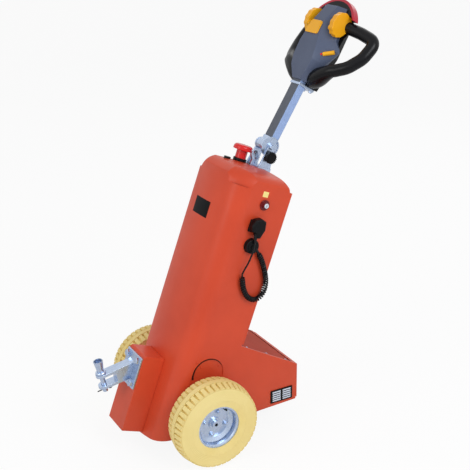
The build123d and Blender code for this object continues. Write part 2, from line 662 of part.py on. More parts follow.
def make_index(outer):
    """Index knob on the near plate and the locking link between the uprights."""
    x, z = PIVOT_X - 1, PIVOT_Z - KNOB_DROP
    knob = rod(KNOB_R, (x, KNOB_Y[0], z), (x, KNOB_Y[1], z))
    knob = chamfer(knob.edges().filter_by(GeomType.CIRCLE), 1.5)
    knob += rod(KNOB_STEM_R, (x, NEAR_PLATE_Y[1], z), (x, KNOB_Y[0], z))
    x, z = LINK
    eye = Pos(x, z) * SlotOverall(32, 22, rotation=60)
    eye -= [Pos(x + 5, z + 8) * Circle(3), Pos(x - 5, z - 8) * Circle(3)]
    stem = make_face(Polyline((x - 7, z - 12), (x + 4, z - 12), (x + 8, CROWN), (x + 8, CROWN - 20),
                              (x - 8, CROWN - 20), (x - 8, CROWN), close=True))
    link = Pos(0, LINK_Y[0], 0) * extrude(Plane.XZ * (eye + stem), amount=LINK_Y[0] - LINK_Y[1])
    return {"index_knob": COLUMN * knob, "lock_link": COLUMN * link - outer}


def make_tiller():
    """Everything that tilts about the tiller pivot."""
    gap = DISC_Y0[0]
    far = FAR_CHEEK_Y - FOOT_GAP
    foot = Circle(FOOT_R) + Pos(TUBE_H, TUBE_LOW / 2) * Rectangle(TUBE_D, TUBE_LOW)
    foot = Pos(0, -far, 0) * extrude(Plane.XZ * foot, amount=-(gap + far))
    foot -= rod(PIVOT_R + RUN_GAP, (0, -far - 1, 0), (0, gap + 1, 0))
    tube = box((TUBE_H - TUBE_D / 2, TUBE_H + TUBE_D / 2), (-TUBE_W / 2, TUBE_W / 2),
               (TUBE_LOW, TUBE_TOP))
    wall = TUBE_WALL
    tube -= box((TUBE_H - TUBE_D / 2 + wall, TUBE_H + TUBE_D / 2 - wall),
                (-TUBE_W / 2 + wall, TUBE_W / 2 - wall), (TUBE_LOW - 1, TUBE_TOP + 1))
    low, high = DISC_Y0
    disc = Circle(DISC_R) - Circle(PIVOT_R + RUN_GAP)
    for turn in HOLE_TURNS:
        a = math.radians(turn)
        disc -= Pos(HOLE_CIRCLE * math.cos(a), HOLE_CIRCLE * math.sin(a)) * Circle(HOLE_R)
    disc = Pos(0, low, 0) * extrude(Plane.XZ * disc, amount=low - high)
    clamp = box(CLAMP_H, (-CLAMP_HALF, CLAMP_HALF), CLAMP_S)
    clamp -= box((TUBE_H - TUBE_D / 2, TUBE_H + TUBE_D / 2), (-TUBE_W / 2, TUBE_W / 2), (0, FAR))
    return {"tiller_foot": TILLER * foot, "tiller_disc": TILLER * disc,
            "tiller_tube": TILLER * tube, "tiller_clamp": TILLER * clamp, **make_head()}


def head_section(s, half, edge, crown, flat):
    """Outline of the shell across the tiller at s."""
    points = [(SHELL_BASE, half - 6), (edge, half), (crown, flat), (crown, -flat),
              (edge, -half), (SHELL_BASE, -half + 6)]
    return Plane(origin=(0, 0, s)) * make_face(Polyline(*points, close=True))


def base_section(s, upper, lower, high, low):
    """Outline of the black base across the tiller at s."""
    points = [(high, upper), (low + 10, (upper + lower) / 2), (low, lower), (low, -lower),
              (low + 10, -(upper + lower) / 2), (high, -upper)]
    return Plane(origin=(0, 0, s)) * make_face(Polyline(*points, close=True))


def loop_point(out, s, side):
    """Point of a handle loop, at a distance out from the middle and s along the tiller."""
    h, s0, out0 = LOOP_PLANE
    return (h + LOOP_SLOPE[0] * (s - s0) + LOOP_SLOPE[1] * (out - out0), side * out, s)


def handle(side):
    """Tube loop of one side, with a thicker root."""
    path = FilletPolyline(*[loop_point(*p, side) for p in LOOP_PATH], radius=LOOP_BENDS)
    loop = sweep(Plane(origin=path @ 0, z_dir=path % 0) * Circle(LOOP_R), path=path)
    (y0, s0), (y1, s1) = LOOP_PATH[:2]
    end = 0.55
    reach = loop_point(y0 + end * (y1 - y0), s0 + end * (s1 - s0), side)
    return loop + rod(SLEEVE_LOOP_R, loop_point(y0, s0, side), reach)


def throttle(side):
    """Butterfly lever: a crescent round the upper root of the loop, on a stub."""
    low, high = THROTTLE_Y
    h, s, r = THROTTLE_CUT
    face = Pos(THROTTLE_H, THROTTLE_S) * Circle(THROTTLE_R) - Pos(h, s) * Circle(r)
    lever = Pos(0, low, 0) * extrude(Plane.XZ * face, amount=low - high)
    lever = fillet(lever.edges().filter_by(GeomType.CIRCLE), 4.0)
    h, s, r = THROTTLE_STUB
    lever += rod(r, (h, 0, s), (h, low + 5, s))
    return lever if side > 0 else mirror(lever, about=Plane.XZ)


def make_head():
    """Control head: shell, base, loops, throttles, bow, pad and button."""
    socket = box((TUBE_H - TUBE_D / 2, TUBE_H + TUBE_D / 2), (-TUBE_W / 2, TUBE_W / 2),
                 (0.0, TUBE_TOP))
    shell = loft([head_section(*row) for row in HEAD_SECTIONS], ruled=True)
    base = loft([base_section(*row) for row in BASE_SECTIONS], ruled=True)
    core = bow_face(BOW_HALF - BOW_BAND, BOW_TOP - BOW_BAND)
    depth = BOW_REACH[1] - BOW_REACH[0]
    base += Pos(BOW_REACH[0], 0, 0) * extrude(Plane.YZ * core, amount=depth)
    for _, side in SIDES:
        low, high = sorted((side * (THROTTLE_Y[0] - 1), side * FAR))
        base -= rod(THROTTLE_R + 1, (THROTTLE_H, low, THROTTLE_S), (THROTTLE_H, high, THROTTLE_S))
    nodes = {"head_shell": shell - socket, "head_base": base - socket - shell}
    for name, side in SIDES:
        loop = handle(side)
        nodes[f"handle_{name}"] = loop - base - shell
        nodes[f"throttle_{name}"] = throttle(side) - shell - base - loop
    whole = bow_face(BOW_HALF, BOW_TOP)
    bow = Pos(BOW_REACH[0], 0, 0) * extrude(Plane.YZ * (whole - core), amount=depth)
    nodes["belly_bow"] = bow - shell - base
    (s1, a1, b1), (s0, a0, b0) = PAD
    pad = make_face(Polyline((a0, s0), (b0, s0), (b1, s1), (a1, s1), close=True))
    pad = fillet(pad.vertices(), 6.0)
    pad = Pos(PAD_H[0], 0, 0) * extrude(Plane.YZ * pad, amount=PAD_H[1] - PAD_H[0])
    nodes["head_pad"] = pad - shell
    ends = [(h, y, s) for y, h, s in BUTTON]
    nodes["head_button"] = rod(BUTTON_R, *ends) - shell
    return {name: TILLER * shape for name, shape in nodes.items()}


def bow_face(half, top):
    """Area under an arc over the head, between the handle loops."""
    arc = ThreePointArc((-half, BOW_FOOT), (0, top), (half, BOW_FOOT))
    return make_face([arc, Line((half, BOW_FOOT), (-half, BOW_FOOT))])


def side_disc(spot, radius, start, end):
    """Disc on the near side panel at a spot of the column frame."""
    return COLUMN * rod(radius, (spot[0], start, spot[1]), (spot[0], end, spot[1]))


def make_near_side():
    """Key switch, gland, plug holder, plug and vent grille."""
    key = side_disc(KEY, KEY_R, HALF, HALF + KEY_T) + side_disc(KEY, 9.0, HALF + KEY_T, HALF + 11)
    gland = side_disc(GLAND, GLAND_R, HALF, HALF + GLAND_T)
    x, z = HOLDER
    holder = COLUMN * box((x - HOLDER_W / 2, x + HOLDER_W / 2), (HALF, HALF + HOLDER_T),
                          (z - HOLDER_H / 2, z + HOLDER_H / 2))
    plug = make_face(Polyline((x - 25, z - 2), (x - 20, z + 22), (x - 4, z + 28), (x + 14, z + 22),
                              (x + 22, z + 2), (x + 16, z - 14), (x + 2, z - 17),
                              (x - 6, z - 30), (x - 16, z - 28), close=True))
    plug = extrude(Plane.XZ * plug, amount=-PLUG_T)
    plug = chamfer(plug.faces().sort_by(Axis.Y)[-1].edges(), PLUG_EDGE)
    plug = COLUMN * Pos(0, HALF + HOLDER_T, 0) * plug
    vent = box(VENT_X, (HALF, HALF + VENT_T), VENT_Z)
    pitch = (VENT_Z[1] - VENT_Z[0] - 6) / VENT_ROWS
    middle = sum(VENT_X) / 2
    for row in range(VENT_ROWS):
        z0 = VENT_Z[0] + 3 + pitch * (row + 0.25)
        for x0, x1 in ((VENT_X[0] + 6, middle - 3), (middle + 3, VENT_X[1] - 6)):
            vent -= box((x0, x1), (HALF - 1, HALF + VENT_T + 1), (z0, z0 + pitch / 2))
    return {"key_switch": key, "cable_gland": gland, "plug_holder": holder,
            "mains_plug": plug, "vent_grille": vent}


def bend_radii(points):
    """For each inner point, the largest arc that its two runs allow."""
    radii = []
    for a, b, c in zip(points, points[1:], points[2:]):
        u, v = Vector(*b) - Vector(*a), Vector(*c) - Vector(*b)
        turn = math.radians(u.get_angle(v))
        radii.append(0.45 * min(u.length, v.length) / math.tan(turn / 2))
    return radii


def tube_along(points, radius):
    """Round tube of straight runs joined by arcs."""
    radii = bend_radii(points)
    print("bend radii", [round(r) for r in radii])
    path = FilletPolyline(*points, radius=radii)
    tube = sweep(Plane(origin=path @ 0, z_dir=path % 0) * Circle(radius), path=path)
    print("tube length", round(path.length), "volume ratio",
          round(tube.volume / (math.pi * radius ** 2 * path.length), 4))
    return tube


def make_cord(near_side):
    """Curled stretch and straight lead of the charging cord."""
    curl = tube_along([(x, CURL_Y, z) for x, z in CURL_PATH], CURL_R)
    lead = tube_along(LEAD_PATH, CORD_R)
    return {"cord_curl": curl - near_side["cable_gland"],
            "cord_lead": lead - curl - near_side["mains_plug"]}


CORD_NODES = ("cord_curl", "cord_lead", "mains_plug")


def build_nodes():
    """All nodes by name, in the modelling frame."""
    outer = body_volume()
    near_side = make_near_side()
    return {
        "column_shell": column_shell(outer),
        **make_covers(),
        "nose_box": nose_box(outer),
        "floor_plate": floor_plate(),
        **arch_plates(),
        **axle_housings(),
        **masses(),
        **make_wheels(),
        **make_castor(),
        **make_hitch(),
        **make_top(outer),
        "tiller_bracket": tiller_bracket(outer),
        **make_index(outer),
        **make_tiller(),
        **near_side,
        **make_cord(near_side),
    }


def main():
    """Builds every node, sets the origin and writes the STEP files."""
    nodes = build_nodes()
    body = Compound([s for n, shape in nodes.items() if n not in CORD_NODES
                     for s in shape.solids()])
    bounds = body.bounding_box()
    shift = Pos(-(bounds.min.X + bounds.max.X) / 2, -(bounds.min.Y + bounds.max.Y) / 2,
                -bounds.min.Z)
    print("axle in the part's frame", shift.position)
    print("size", bounds.size)
    os.makedirs("parts", exist_ok=True)
    for name, shape in nodes.items():
        solids = (shift * shape).solids()
        piece = solids[0] if len(solids) == 1 else Compound(solids)
        piece.label = name
        export_step(piece, f"parts/{name}.step")


if __name__ == "__main__":
    main()
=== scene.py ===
"""Looks of the pedestrian electric tow tractor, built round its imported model.

Lengths are written in millimetres in the working frames of the source and become metres
in the row frame when a mesh is placed. Every finish is procedural.
"""
import json
import logging
import math
from dataclasses import dataclass
from enum import Enum

import bmesh
import bpy
from mathutils import Matrix, Vector

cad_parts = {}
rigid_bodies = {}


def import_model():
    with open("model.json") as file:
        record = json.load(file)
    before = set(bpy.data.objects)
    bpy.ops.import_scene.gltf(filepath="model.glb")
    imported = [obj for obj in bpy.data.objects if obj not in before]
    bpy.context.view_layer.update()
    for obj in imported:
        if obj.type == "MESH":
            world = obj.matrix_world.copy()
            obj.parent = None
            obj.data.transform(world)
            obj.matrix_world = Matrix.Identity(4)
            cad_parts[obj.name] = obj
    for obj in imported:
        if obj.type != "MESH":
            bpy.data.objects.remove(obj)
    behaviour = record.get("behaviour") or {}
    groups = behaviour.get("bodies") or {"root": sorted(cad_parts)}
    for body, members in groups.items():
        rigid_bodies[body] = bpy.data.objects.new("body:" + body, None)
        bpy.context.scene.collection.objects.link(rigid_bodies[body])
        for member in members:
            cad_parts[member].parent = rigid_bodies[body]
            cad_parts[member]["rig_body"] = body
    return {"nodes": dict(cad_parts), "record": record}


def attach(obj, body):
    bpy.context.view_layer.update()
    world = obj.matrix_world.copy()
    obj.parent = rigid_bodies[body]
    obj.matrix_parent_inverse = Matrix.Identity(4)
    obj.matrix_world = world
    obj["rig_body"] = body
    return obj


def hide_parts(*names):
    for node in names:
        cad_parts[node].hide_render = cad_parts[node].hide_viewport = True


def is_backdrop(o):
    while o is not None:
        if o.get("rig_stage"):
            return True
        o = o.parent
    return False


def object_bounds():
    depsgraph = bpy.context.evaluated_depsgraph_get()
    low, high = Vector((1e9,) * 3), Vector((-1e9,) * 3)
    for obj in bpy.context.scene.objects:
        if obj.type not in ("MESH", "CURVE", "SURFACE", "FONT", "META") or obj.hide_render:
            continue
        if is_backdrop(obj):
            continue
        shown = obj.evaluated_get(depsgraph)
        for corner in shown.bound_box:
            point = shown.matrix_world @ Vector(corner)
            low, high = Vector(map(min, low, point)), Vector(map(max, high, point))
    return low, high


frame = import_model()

LOG = logging.getLogger("tractor")
MM = 0.001
AXLE = (147.84, 0.0, 130.0)
LEAN = math.radians(20.6)
TILLER_LEAN = math.radians(32.0)
PIVOT = (-21.0, 791.0)
JAW_PIN = (251.5, 112.0)
JAW_DROOP = math.radians(10.0)
HALF = 131.0
NEAR, FAR_SIDE = 1.0, -1.0
FOLD = math.radians(32.0)   # sharper folds stay sharp and take a rounded edge


class Place(Enum):
    """Working frames of the source, in which pieces are drawn."""

    BASE = "base"
    COLUMN = "column"
    TILLER = "tiller"
    JAW = "jaw"

    def matrix(self) -> Matrix:
        """Frame's place in the row frame, with the change from millimetres to metres.

        Returns:
            The matrix that takes a point of this frame to the row frame.
        """
        column = Matrix.Rotation(-LEAN, 4, "Y")
        local = {
            Place.BASE: Matrix.Identity(4),
            Place.COLUMN: column,
            Place.TILLER: column @ Matrix.Translation((PIVOT[0], 0, PIVOT[1]))
            @ Matrix.Rotation(LEAN - TILLER_LEAN, 4, "Y"),
            Place.JAW: Matrix.Translation((JAW_PIN[0], 0, JAW_PIN[1]))
            @ Matrix.Rotation(JAW_DROOP, 4, "Y"),
        }[self]
        return Matrix.Scale(MM, 4) @ Matrix.Translation(AXLE) @ local


class Body(Enum):
    """Bodies that pieces ride on."""

    CHASSIS = "chassis"
    TILLER = "tiller"
    WHEEL_LEFT = "wheel_left"
    WHEEL_RIGHT = "wheel_right"
    SWIVEL = "castor_swivel"


# ---- shader helpers


class Wire:
    """A value output of a shader node; sums and products on it add Math nodes."""

    def __init__(self, board: "Board", socket: bpy.types.NodeSocket) -> None:
        """Keeps the board and the socket."""
        self.board = board
        self.socket = socket

    def _math(self, operation: str, first: "Wire | float", second: "Wire | float") -> "Wire":
        """Adds one Math node.

        Args:
            operation: Name of the operation.
            first: First operand.
            second: Second operand.

        Returns:
            The node's result.
        """
        return self.board.value("ShaderNodeMath", {"operation": operation}, {0: first, 1: second})

    def __add__(self, other: "Wire | float") -> "Wire":
        """Sum."""
        return self._math("ADD", self, other)

    def __radd__(self, other: float) -> "Wire":
        """Sum with a number on the left."""
        return self._math("ADD", other, self)

    def __sub__(self, other: "Wire | float") -> "Wire":
        """Difference."""
        return self._math("SUBTRACT", self, other)

    def __rsub__(self, other: float) -> "Wire":
        """Difference with a number on the left."""
        return self._math("SUBTRACT", other, self)

    def __mul__(self, other: "Wire | float") -> "Wire":
        """Product."""
        return self._math("MULTIPLY", self, other)

    def __rmul__(self, other: float) -> "Wire":
        """Product with a number on the left."""
        return self._math("MULTIPLY", other, self)

    def __truediv__(self, other: "Wire | float") -> "Wire":
        """Quotient."""
        return self._math("DIVIDE", self, other)

    def __rtruediv__(self, other: float) -> "Wire":
        """Quotient with a number on the left."""
        return self._math("DIVIDE", other, self)

    def __pow__(self, other: "Wire | float") -> "Wire":
        """Power."""
        return self._math("POWER", self, other)

    def __gt__(self, other: "Wire | float") -> "Wire":
        """1 where this is greater, else 0."""
        return self._math("GREATER_THAN", self, other)

    def __lt__(self, other: "Wire | float") -> "Wire":
        """1 where this is less, else 0."""
        return self._math("LESS_THAN", self, other)

    def sine(self) -> "Wire":
        """Sine of the value."""
        return self._math("SINE", self, 0.0)


class Board:
    """Node tree of one material, filled through one method."""

    def __init__(self, name: str) -> None:
        """Makes an empty material.

        Args:
            name: Name of the material.
        """
        self.material = bpy.data.materials.new(name)
        self.material.use_nodes = True
        self.tree = self.material.node_tree
        self.tree.nodes.clear()

    def add(self, kind: str, settings: dict, sockets: dict) -> bpy.types.Node:
        """Adds a node, its settings first and then its inputs.

        Args:
            kind: The node's type.
            settings: Properties by name; "stops" holds a ramp's (place, value) pairs.
            sockets: Values, wires or output sockets by input name or number.

        Returns:
            The node.
        """
        node = self.tree.nodes.new(kind)
        for key, value in settings.items():
            if key == "stops":
                ramp = node.color_ramp
                while len(ramp.elements) < len(value):
                    ramp.elements.new(0.5)
                for element, (place, shade) in zip(ramp.elements, value):
                    element.position = place
                    element.color = (shade, shade, shade, 1.0)
            else:
                setattr(node, key, value)
        for key, value in sockets.items():
            if isinstance(value, Wire):
                self.tree.links.new(value.socket, node.inputs[key])
            elif isinstance(value, bpy.types.NodeSocket):
                self.tree.links.new(value, node.inputs[key])
            else:
                node.inputs[key].default_value = value
        return node

    def value(self, kind: str, settings: dict, sockets: dict, output: int | str = 0) -> Wire:
        """Adds a node and gives one output as a wire.

        Args:
            kind: The node's type.
            settings: Properties by name.
            sockets: Inputs by name or number.
            output: Which output.

        Returns:
            The output, ready for arithmetic.
        """
        return Wire(self, self.add(kind, settings, sockets).outputs[output])

    def coordinates(self) -> bpy.types.NodeSocket:
        """Object coordinates, in metres."""
        return self.add("ShaderNodeTexCoord", {}, {}).outputs["Object"]

    def noise(self, point: bpy.types.NodeSocket, scale: float, detail: float = 3.0) -> Wire:
        """Soft noise.

        Args:
            point: Where it is read.
            scale: Patches per metre.
            detail: Finer layers on it.

        Returns:
            Noise of about 0 to 1.
        """
        return self.value("ShaderNodeTexNoise", {}, {
            "Vector": point, "Scale": scale, "Detail": detail})

    def blend(self, factor: Wire | float, first: tuple, second: tuple) -> bpy.types.NodeSocket:
        """Colour between two colours.

        Args:
            factor: 0 for the first and 1 for the second.
            first: Linear colour.
            second: Linear colour or another blend's output.

        Returns:
            The colour output.
        """
        node = self.add("ShaderNodeMix", {"data_type": "RGBA"}, {0: factor, 6: first, 7: second})
        return node.outputs[2]

    def bump(self, height: Wire, depth: float) -> bpy.types.NodeSocket:
        """Relief.

        Args:
            height: Height of 0 to 1.
            depth: Depth in millimetres.

        Returns:
            The normal.
        """
        node = self.add("ShaderNodeBump", {}, {
            "Strength": 1.0, "Distance": depth * MM, "Height": height})
        return node.outputs["Normal"]


def linear(colour: tuple[int, int, int]) -> tuple[float, float, float, float]:
    """Linear colour of a screen colour.

    Args:
        colour: Red, green and blue, 0 to 255.

    Returns:
        The colour as shaders take it.
    """
    parts = []
    for part in colour:
        c = part / 255.0
        parts.append(c / 12.92 if c <= 0.04045 else ((c + 0.055) / 1.055) ** 2.4)
    return (*parts, 1.0)


# ---- finishes


@dataclass(frozen=True)
class Finish:
    """Smooth surface whose colour, gloss and fine relief vary a little."""

    name: str
    colour: tuple[int, int, int]
    second: tuple[int, int, int]
    roughness: float = 0.4
    drift: float = 0.08
    metallic: float = 0.0
    coat: float = 0.0
    shine: float = 0.5
    patch: float = 7.0
    grain: float = 500.0
    depth: float = 0.03
    coat_roughness: float = 0.12
    patch_edges: tuple[float, float] = (0.35, 0.65)

    def tint(self, board: Board, point: bpy.types.NodeSocket) -> bpy.types.NodeSocket:
        """Colour over the surface, between the two colours of the finish.

        Args:
            board: Node tree of the finish.
            point: Object coordinates.

        Returns:
            The colour output.
        """
        mask = board.noise(point, self.patch, 4.0)
        low, high = self.patch_edges
        mask = board.value("ShaderNodeValToRGB", {"stops": ((low, 0.0), (high, 1.0))}, {0: mask})
        return board.blend(mask, linear(self.colour), linear(self.second))

    def height(self, board: Board, point: bpy.types.NodeSocket) -> Wire:
        """Fine relief."""
        return board.noise(point, self.grain, 2.0)

    def gloss(self, board: Board, point: bpy.types.NodeSocket) -> Wire:
        """Roughness over the surface."""
        return self.roughness + (board.noise(point, self.patch * 4.0) - 0.5) * (2.0 * self.drift)

    def build(self) -> bpy.types.Material:
        """Material of this finish.

        Returns:
            The material, with its nodes.
        """
        board = Board(self.name)
        point = board.coordinates()
        shader = board.add("ShaderNodeBsdfPrincipled", {}, {
            "Base Color": self.tint(board, point),
            "Roughness": self.gloss(board, point),
            "Metallic": self.metallic,
            "Specular IOR Level": self.shine,
            "Coat Weight": self.coat,
            "Coat Roughness": self.coat_roughness,
            "Normal": board.bump(self.height(board, point), self.depth),
        })
        board.add("ShaderNodeOutputMaterial", {}, {"Surface": shader.outputs[0]})
        return board.material


@dataclass(frozen=True)
class Enamel(Finish):
    """Stoved paint: a soft peel over the sheet and dust low on the machine."""

    dust: tuple[int, int, int] = (168, 92, 66)
    dust_rise: tuple[float, float] = (0.05, 0.30)
    dust_share: float = 0.28
    peel: float = 160.0

    def tint(self, board: Board, point: bpy.types.NodeSocket) -> bpy.types.NodeSocket:
        """Paint colour, dulled by a little dust near the ground.

        Args:
            board: Node tree of the finish.
            point: Object coordinates.

        Returns:
            The colour output.
        """
        paint = super().tint(board, point)
        rise = board.value("ShaderNodeSeparateXYZ", {}, {0: point}, "Z")
        low = board.value("ShaderNodeMapRange", {"clamp": True}, {
            0: rise, 1: self.dust_rise[0], 2: self.dust_rise[1], 3: self.dust_share, 4: 0.0})
        return board.blend(low * board.noise(point, 30.0), paint, linear(self.dust))

    def height(self, board: Board, point: bpy.types.NodeSocket) -> Wire:
        """Peel of the paint under a finer grain."""
        return board.noise(point, self.peel, 1.0) * 0.75 + board.noise(point, self.grain) * 0.25


@dataclass(frozen=True)
class Plated(Finish):
    """Zinc plate: small crystals of slightly different shade, and drawn scratches."""

    crystal: float = 220.0

    def tint(self, board: Board, point: bpy.types.NodeSocket) -> bpy.types.NodeSocket:
        """Shade of each crystal.

        Args:
            board: Node tree of the finish.
            point: Object coordinates.

        Returns:
            The colour output.
        """
        cells = board.add("ShaderNodeTexVoronoi", {}, {"Vector": point, "Scale": self.crystal})
        grey = board.value("ShaderNodeSeparateColor", {}, {0: cells.outputs["Color"]})
        mask = grey * 0.6 + board.noise(point, self.patch * 5.0) * 0.4
        return board.blend(mask, linear(self.colour), linear(self.second))

    def height(self, board: Board, point: bpy.types.NodeSocket) -> Wire:
        """Scratches drawn along the machine."""
        drawn = board.add("ShaderNodeMapping", {}, {"Vector": point, "Scale": (0.08, 1.0, 1.0)})
        return board.noise(drawn.outputs[0], self.grain, 2.0)


@dataclass(frozen=True)
class Moulded(Finish):
    """Moulded plastic with a fine leather grain."""

    def height(self, board: Board, point: bpy.types.NodeSocket) -> Wire:
        """Pebbled grain.

        Args:
            board: Node tree of the finish.
            point: Object coordinates.

        Returns:
            The height.
        """
        cells = board.value("ShaderNodeTexVoronoi", {"feature": "SMOOTH_F1"}, {
            "Vector": point, "Scale": self.grain})
        return cells * 0.6 + board.noise(point, self.grain * 0.5) * 0.4


@dataclass(frozen=True)
class WheelRubber(Finish):
    """Pale rubber: mould rings round the sidewall, and painted shade at the foot of the tread."""

    shadow: tuple[int, int, int] = (206, 178, 98)
    ring_from: float = 0.086
    ring_to: float = 0.104
    rings: float = 1400.0
    tread_from: float = 0.1195
    groove: tuple[float, float] = (0.1205, 0.1255)

    def _radius(self, board: Board, point: bpy.types.NodeSocket) -> Wire:
        """Distance from the wheels' common axis.

        Args:
            board: Node tree of the finish.
            point: Object coordinates.

        Returns:
            The distance, in metres.
        """
        split = board.add("ShaderNodeSeparateXYZ", {}, {0: point})
        x = Wire(board, split.outputs["X"]) - AXLE[0] * MM
        z = Wire(board, split.outputs["Z"]) - AXLE[2] * MM
        return (x * x + z * z) ** 0.5

    def tint(self, board: Board, point: bpy.types.NodeSocket) -> bpy.types.NodeSocket:
        """Cream, with painted shade between the lugs.

        Args:
            board: Node tree of the finish.
            point: Object coordinates.

        Returns:
            The colour output.
        """
        pale = super().tint(board, point)
        radius = self._radius(board, point)
        # painted shade between the lugs, where the groove mask is high
        groove = board.value("ShaderNodeMapRange", {"clamp": True}, {
            0: radius, 1: self.groove[0], 2: self.groove[1], 3: 1.0, 4: 0.0})
        groove = groove * (radius > self.tread_from)
        return board.blend(groove * (0.15 + 0.5 * board.noise(point, 60.0)), pale,
                           linear(self.shadow))

    def height(self, board: Board, point: bpy.types.NodeSocket) -> Wire:
        """Mould rings on the sidewall over a fine grain.

        Args:
            board: Node tree of the finish.
            point: Object coordinates.

        Returns:
            The height.
        """
        radius = self._radius(board, point)
        band = (radius > self.ring_from) * (radius < self.ring_to)
        rings = ((radius * self.rings).sine() * 0.5 + 0.5) * band
        return rings * 0.7 + board.noise(point, self.grain) * 0.3


class Palette:
    """Finishes by the record's slot, each built once."""

    def __init__(self) -> None:
        """Lists the finishes."""
        self.finishes: dict[str, Finish] = {
            "body_paint": Enamel("paint_orange", (214, 74, 41), (205, 69, 38), 0.42, 0.05,
                                 coat=0.08, shine=0.3, grain=700.0, depth=0.05),
            # darker, duller copy of the body paint for the lid: painted shade
            "lid_painted_shade": Enamel("paint_lid_painted_shade", (176, 60, 36), (166, 55, 33), 0.62, 0.04,
                                shine=0.12, grain=700.0, depth=0.05),
            "dark_steel": Finish("primer_dark", (54, 57, 62), (44, 46, 50), 0.6),
            "zinc": Plated("plate_zinc", (192, 206, 228), (172, 187, 211), 0.27, 0.08, 0.95,
                           depth=0.02),
            "tiller_paint": Plated("tube_blue_grey", (158, 182, 226), (146, 170, 214), 0.4,
                                   0.05, 0.25, shine=0.4, crystal=90.0, depth=0.02),
            # darker grey copy of the tube's finish for faces across the machine: painted shade
            "tube_painted_shade": Plated("painted_shade_tube_grey", (92, 97, 108), (84, 89, 100), 0.4,
                                 0.05, 0.25, shine=0.3, crystal=90.0, depth=0.02),
            "tyre_rubber": WheelRubber("rubber_cream", (245, 224, 152), (238, 214, 138), 0.66,
                                       0.06, shine=0.3, grain=900.0, depth=0.35),
            "head_grey": Moulded("shell_grey", (84, 94, 118), (76, 85, 108), 0.48, 0.05,
                                 shine=0.35, grain=1400.0, depth=0.05),
            "black_plastic": Moulded("plastic_black", (6, 6, 8), (10, 10, 13), 0.38, 0.06,
                                     shine=0.16, grain=1400.0, depth=0.05),
            "grip_black": Moulded("grip_soft", (5, 5, 8), (8, 9, 13), 0.3, 0.05,
                                  coat=0.02, shine=0.2, grain=1800.0, depth=0.04),
            "amber": Moulded("plastic_amber", (250, 182, 22), (243, 170, 16), 0.34, 0.05,
                             coat=0.1, shine=0.3, grain=1400.0, depth=0.03),
            "bow_red": Moulded("plastic_crimson", (198, 12, 52), (184, 10, 46), 0.3, 0.05,
                               coat=0.1, shine=0.3, grain=1400.0, depth=0.02),
            "stop_red": Moulded("plastic_signal_red", (226, 18, 18), (214, 14, 14), 0.25, 0.04,
                                coat=0.25, shine=0.3, grain=900.0, depth=0.01),
            "key_red": Moulded("ring_dark_red", (118, 8, 18), (98, 6, 14), 0.3, 0.04,
                               coat=0.15, shine=0.3, grain=900.0, depth=0.01),
            "drive_cast": Finish("casting_grey", (92, 95, 100), (74, 76, 82), 0.7, grain=260.0,
                                 depth=0.25),
            "battery_case": Moulded("case_black", (34, 34, 38), (42, 42, 47), 0.5),
            "castor_tread": Finish("rubber_grey", (64, 64, 68), (54, 54, 58), 0.6),
            "cord_black": Moulded("flex_black", (5, 5, 8), (9, 9, 13), 0.34, 0.06,
                                  shine=0.25, grain=2200.0, depth=0.03),
            "sticker_black": Finish("film_black", (4, 4, 6), (8, 8, 10), 0.4, 0.05,
                                    shine=0.08, grain=900.0, depth=0.01),
            "sticker_yellow": Finish("film_yellow", (250, 232, 150), (244, 222, 128), 0.4,
                                     grain=900.0, depth=0.01),
            # near-black for painted shadow in the gaps round the arches and the sunk lid
            "arch_shade": Finish("painted_gap_shadow", (40, 20, 16), (52, 26, 20), 0.7, shine=0.1),
            "chrome": Plated("plate_chrome", (226, 231, 238), (204, 211, 221), 0.14, 0.04, 1.0,
                             crystal=40.0, depth=0.005),
            "louvre": Moulded("plastic_pale", (214, 222, 234), (200, 208, 222), 0.45),
        }
        self.made: dict[str, bpy.types.Material] = {}

    def material(self, slot: str) -> bpy.types.Material:
        """Material of a slot.

        Args:
            slot: Name of the slot or of an added finish.

        Returns:
            The material, built on its first use.
        """
        if slot not in self.made:
            self.made[slot] = self.finishes[slot].build()
        return self.made[slot]


PALETTE = Palette()
SLOTS = {part["node"]: part["material_slot"] for part in frame["record"]["subparts"]}


# ---- mesh helpers


def link(name: str, data: bpy.types.ID) -> bpy.types.Object:
    """Puts a new object at the origin of the scene.

    Args:
        name: Name of the object.
        data: Its mesh, camera or light.

    Returns:
        The object.
    """
    obj = bpy.data.objects.new(name, data)
    bpy.context.scene.collection.objects.link(obj)
    return obj


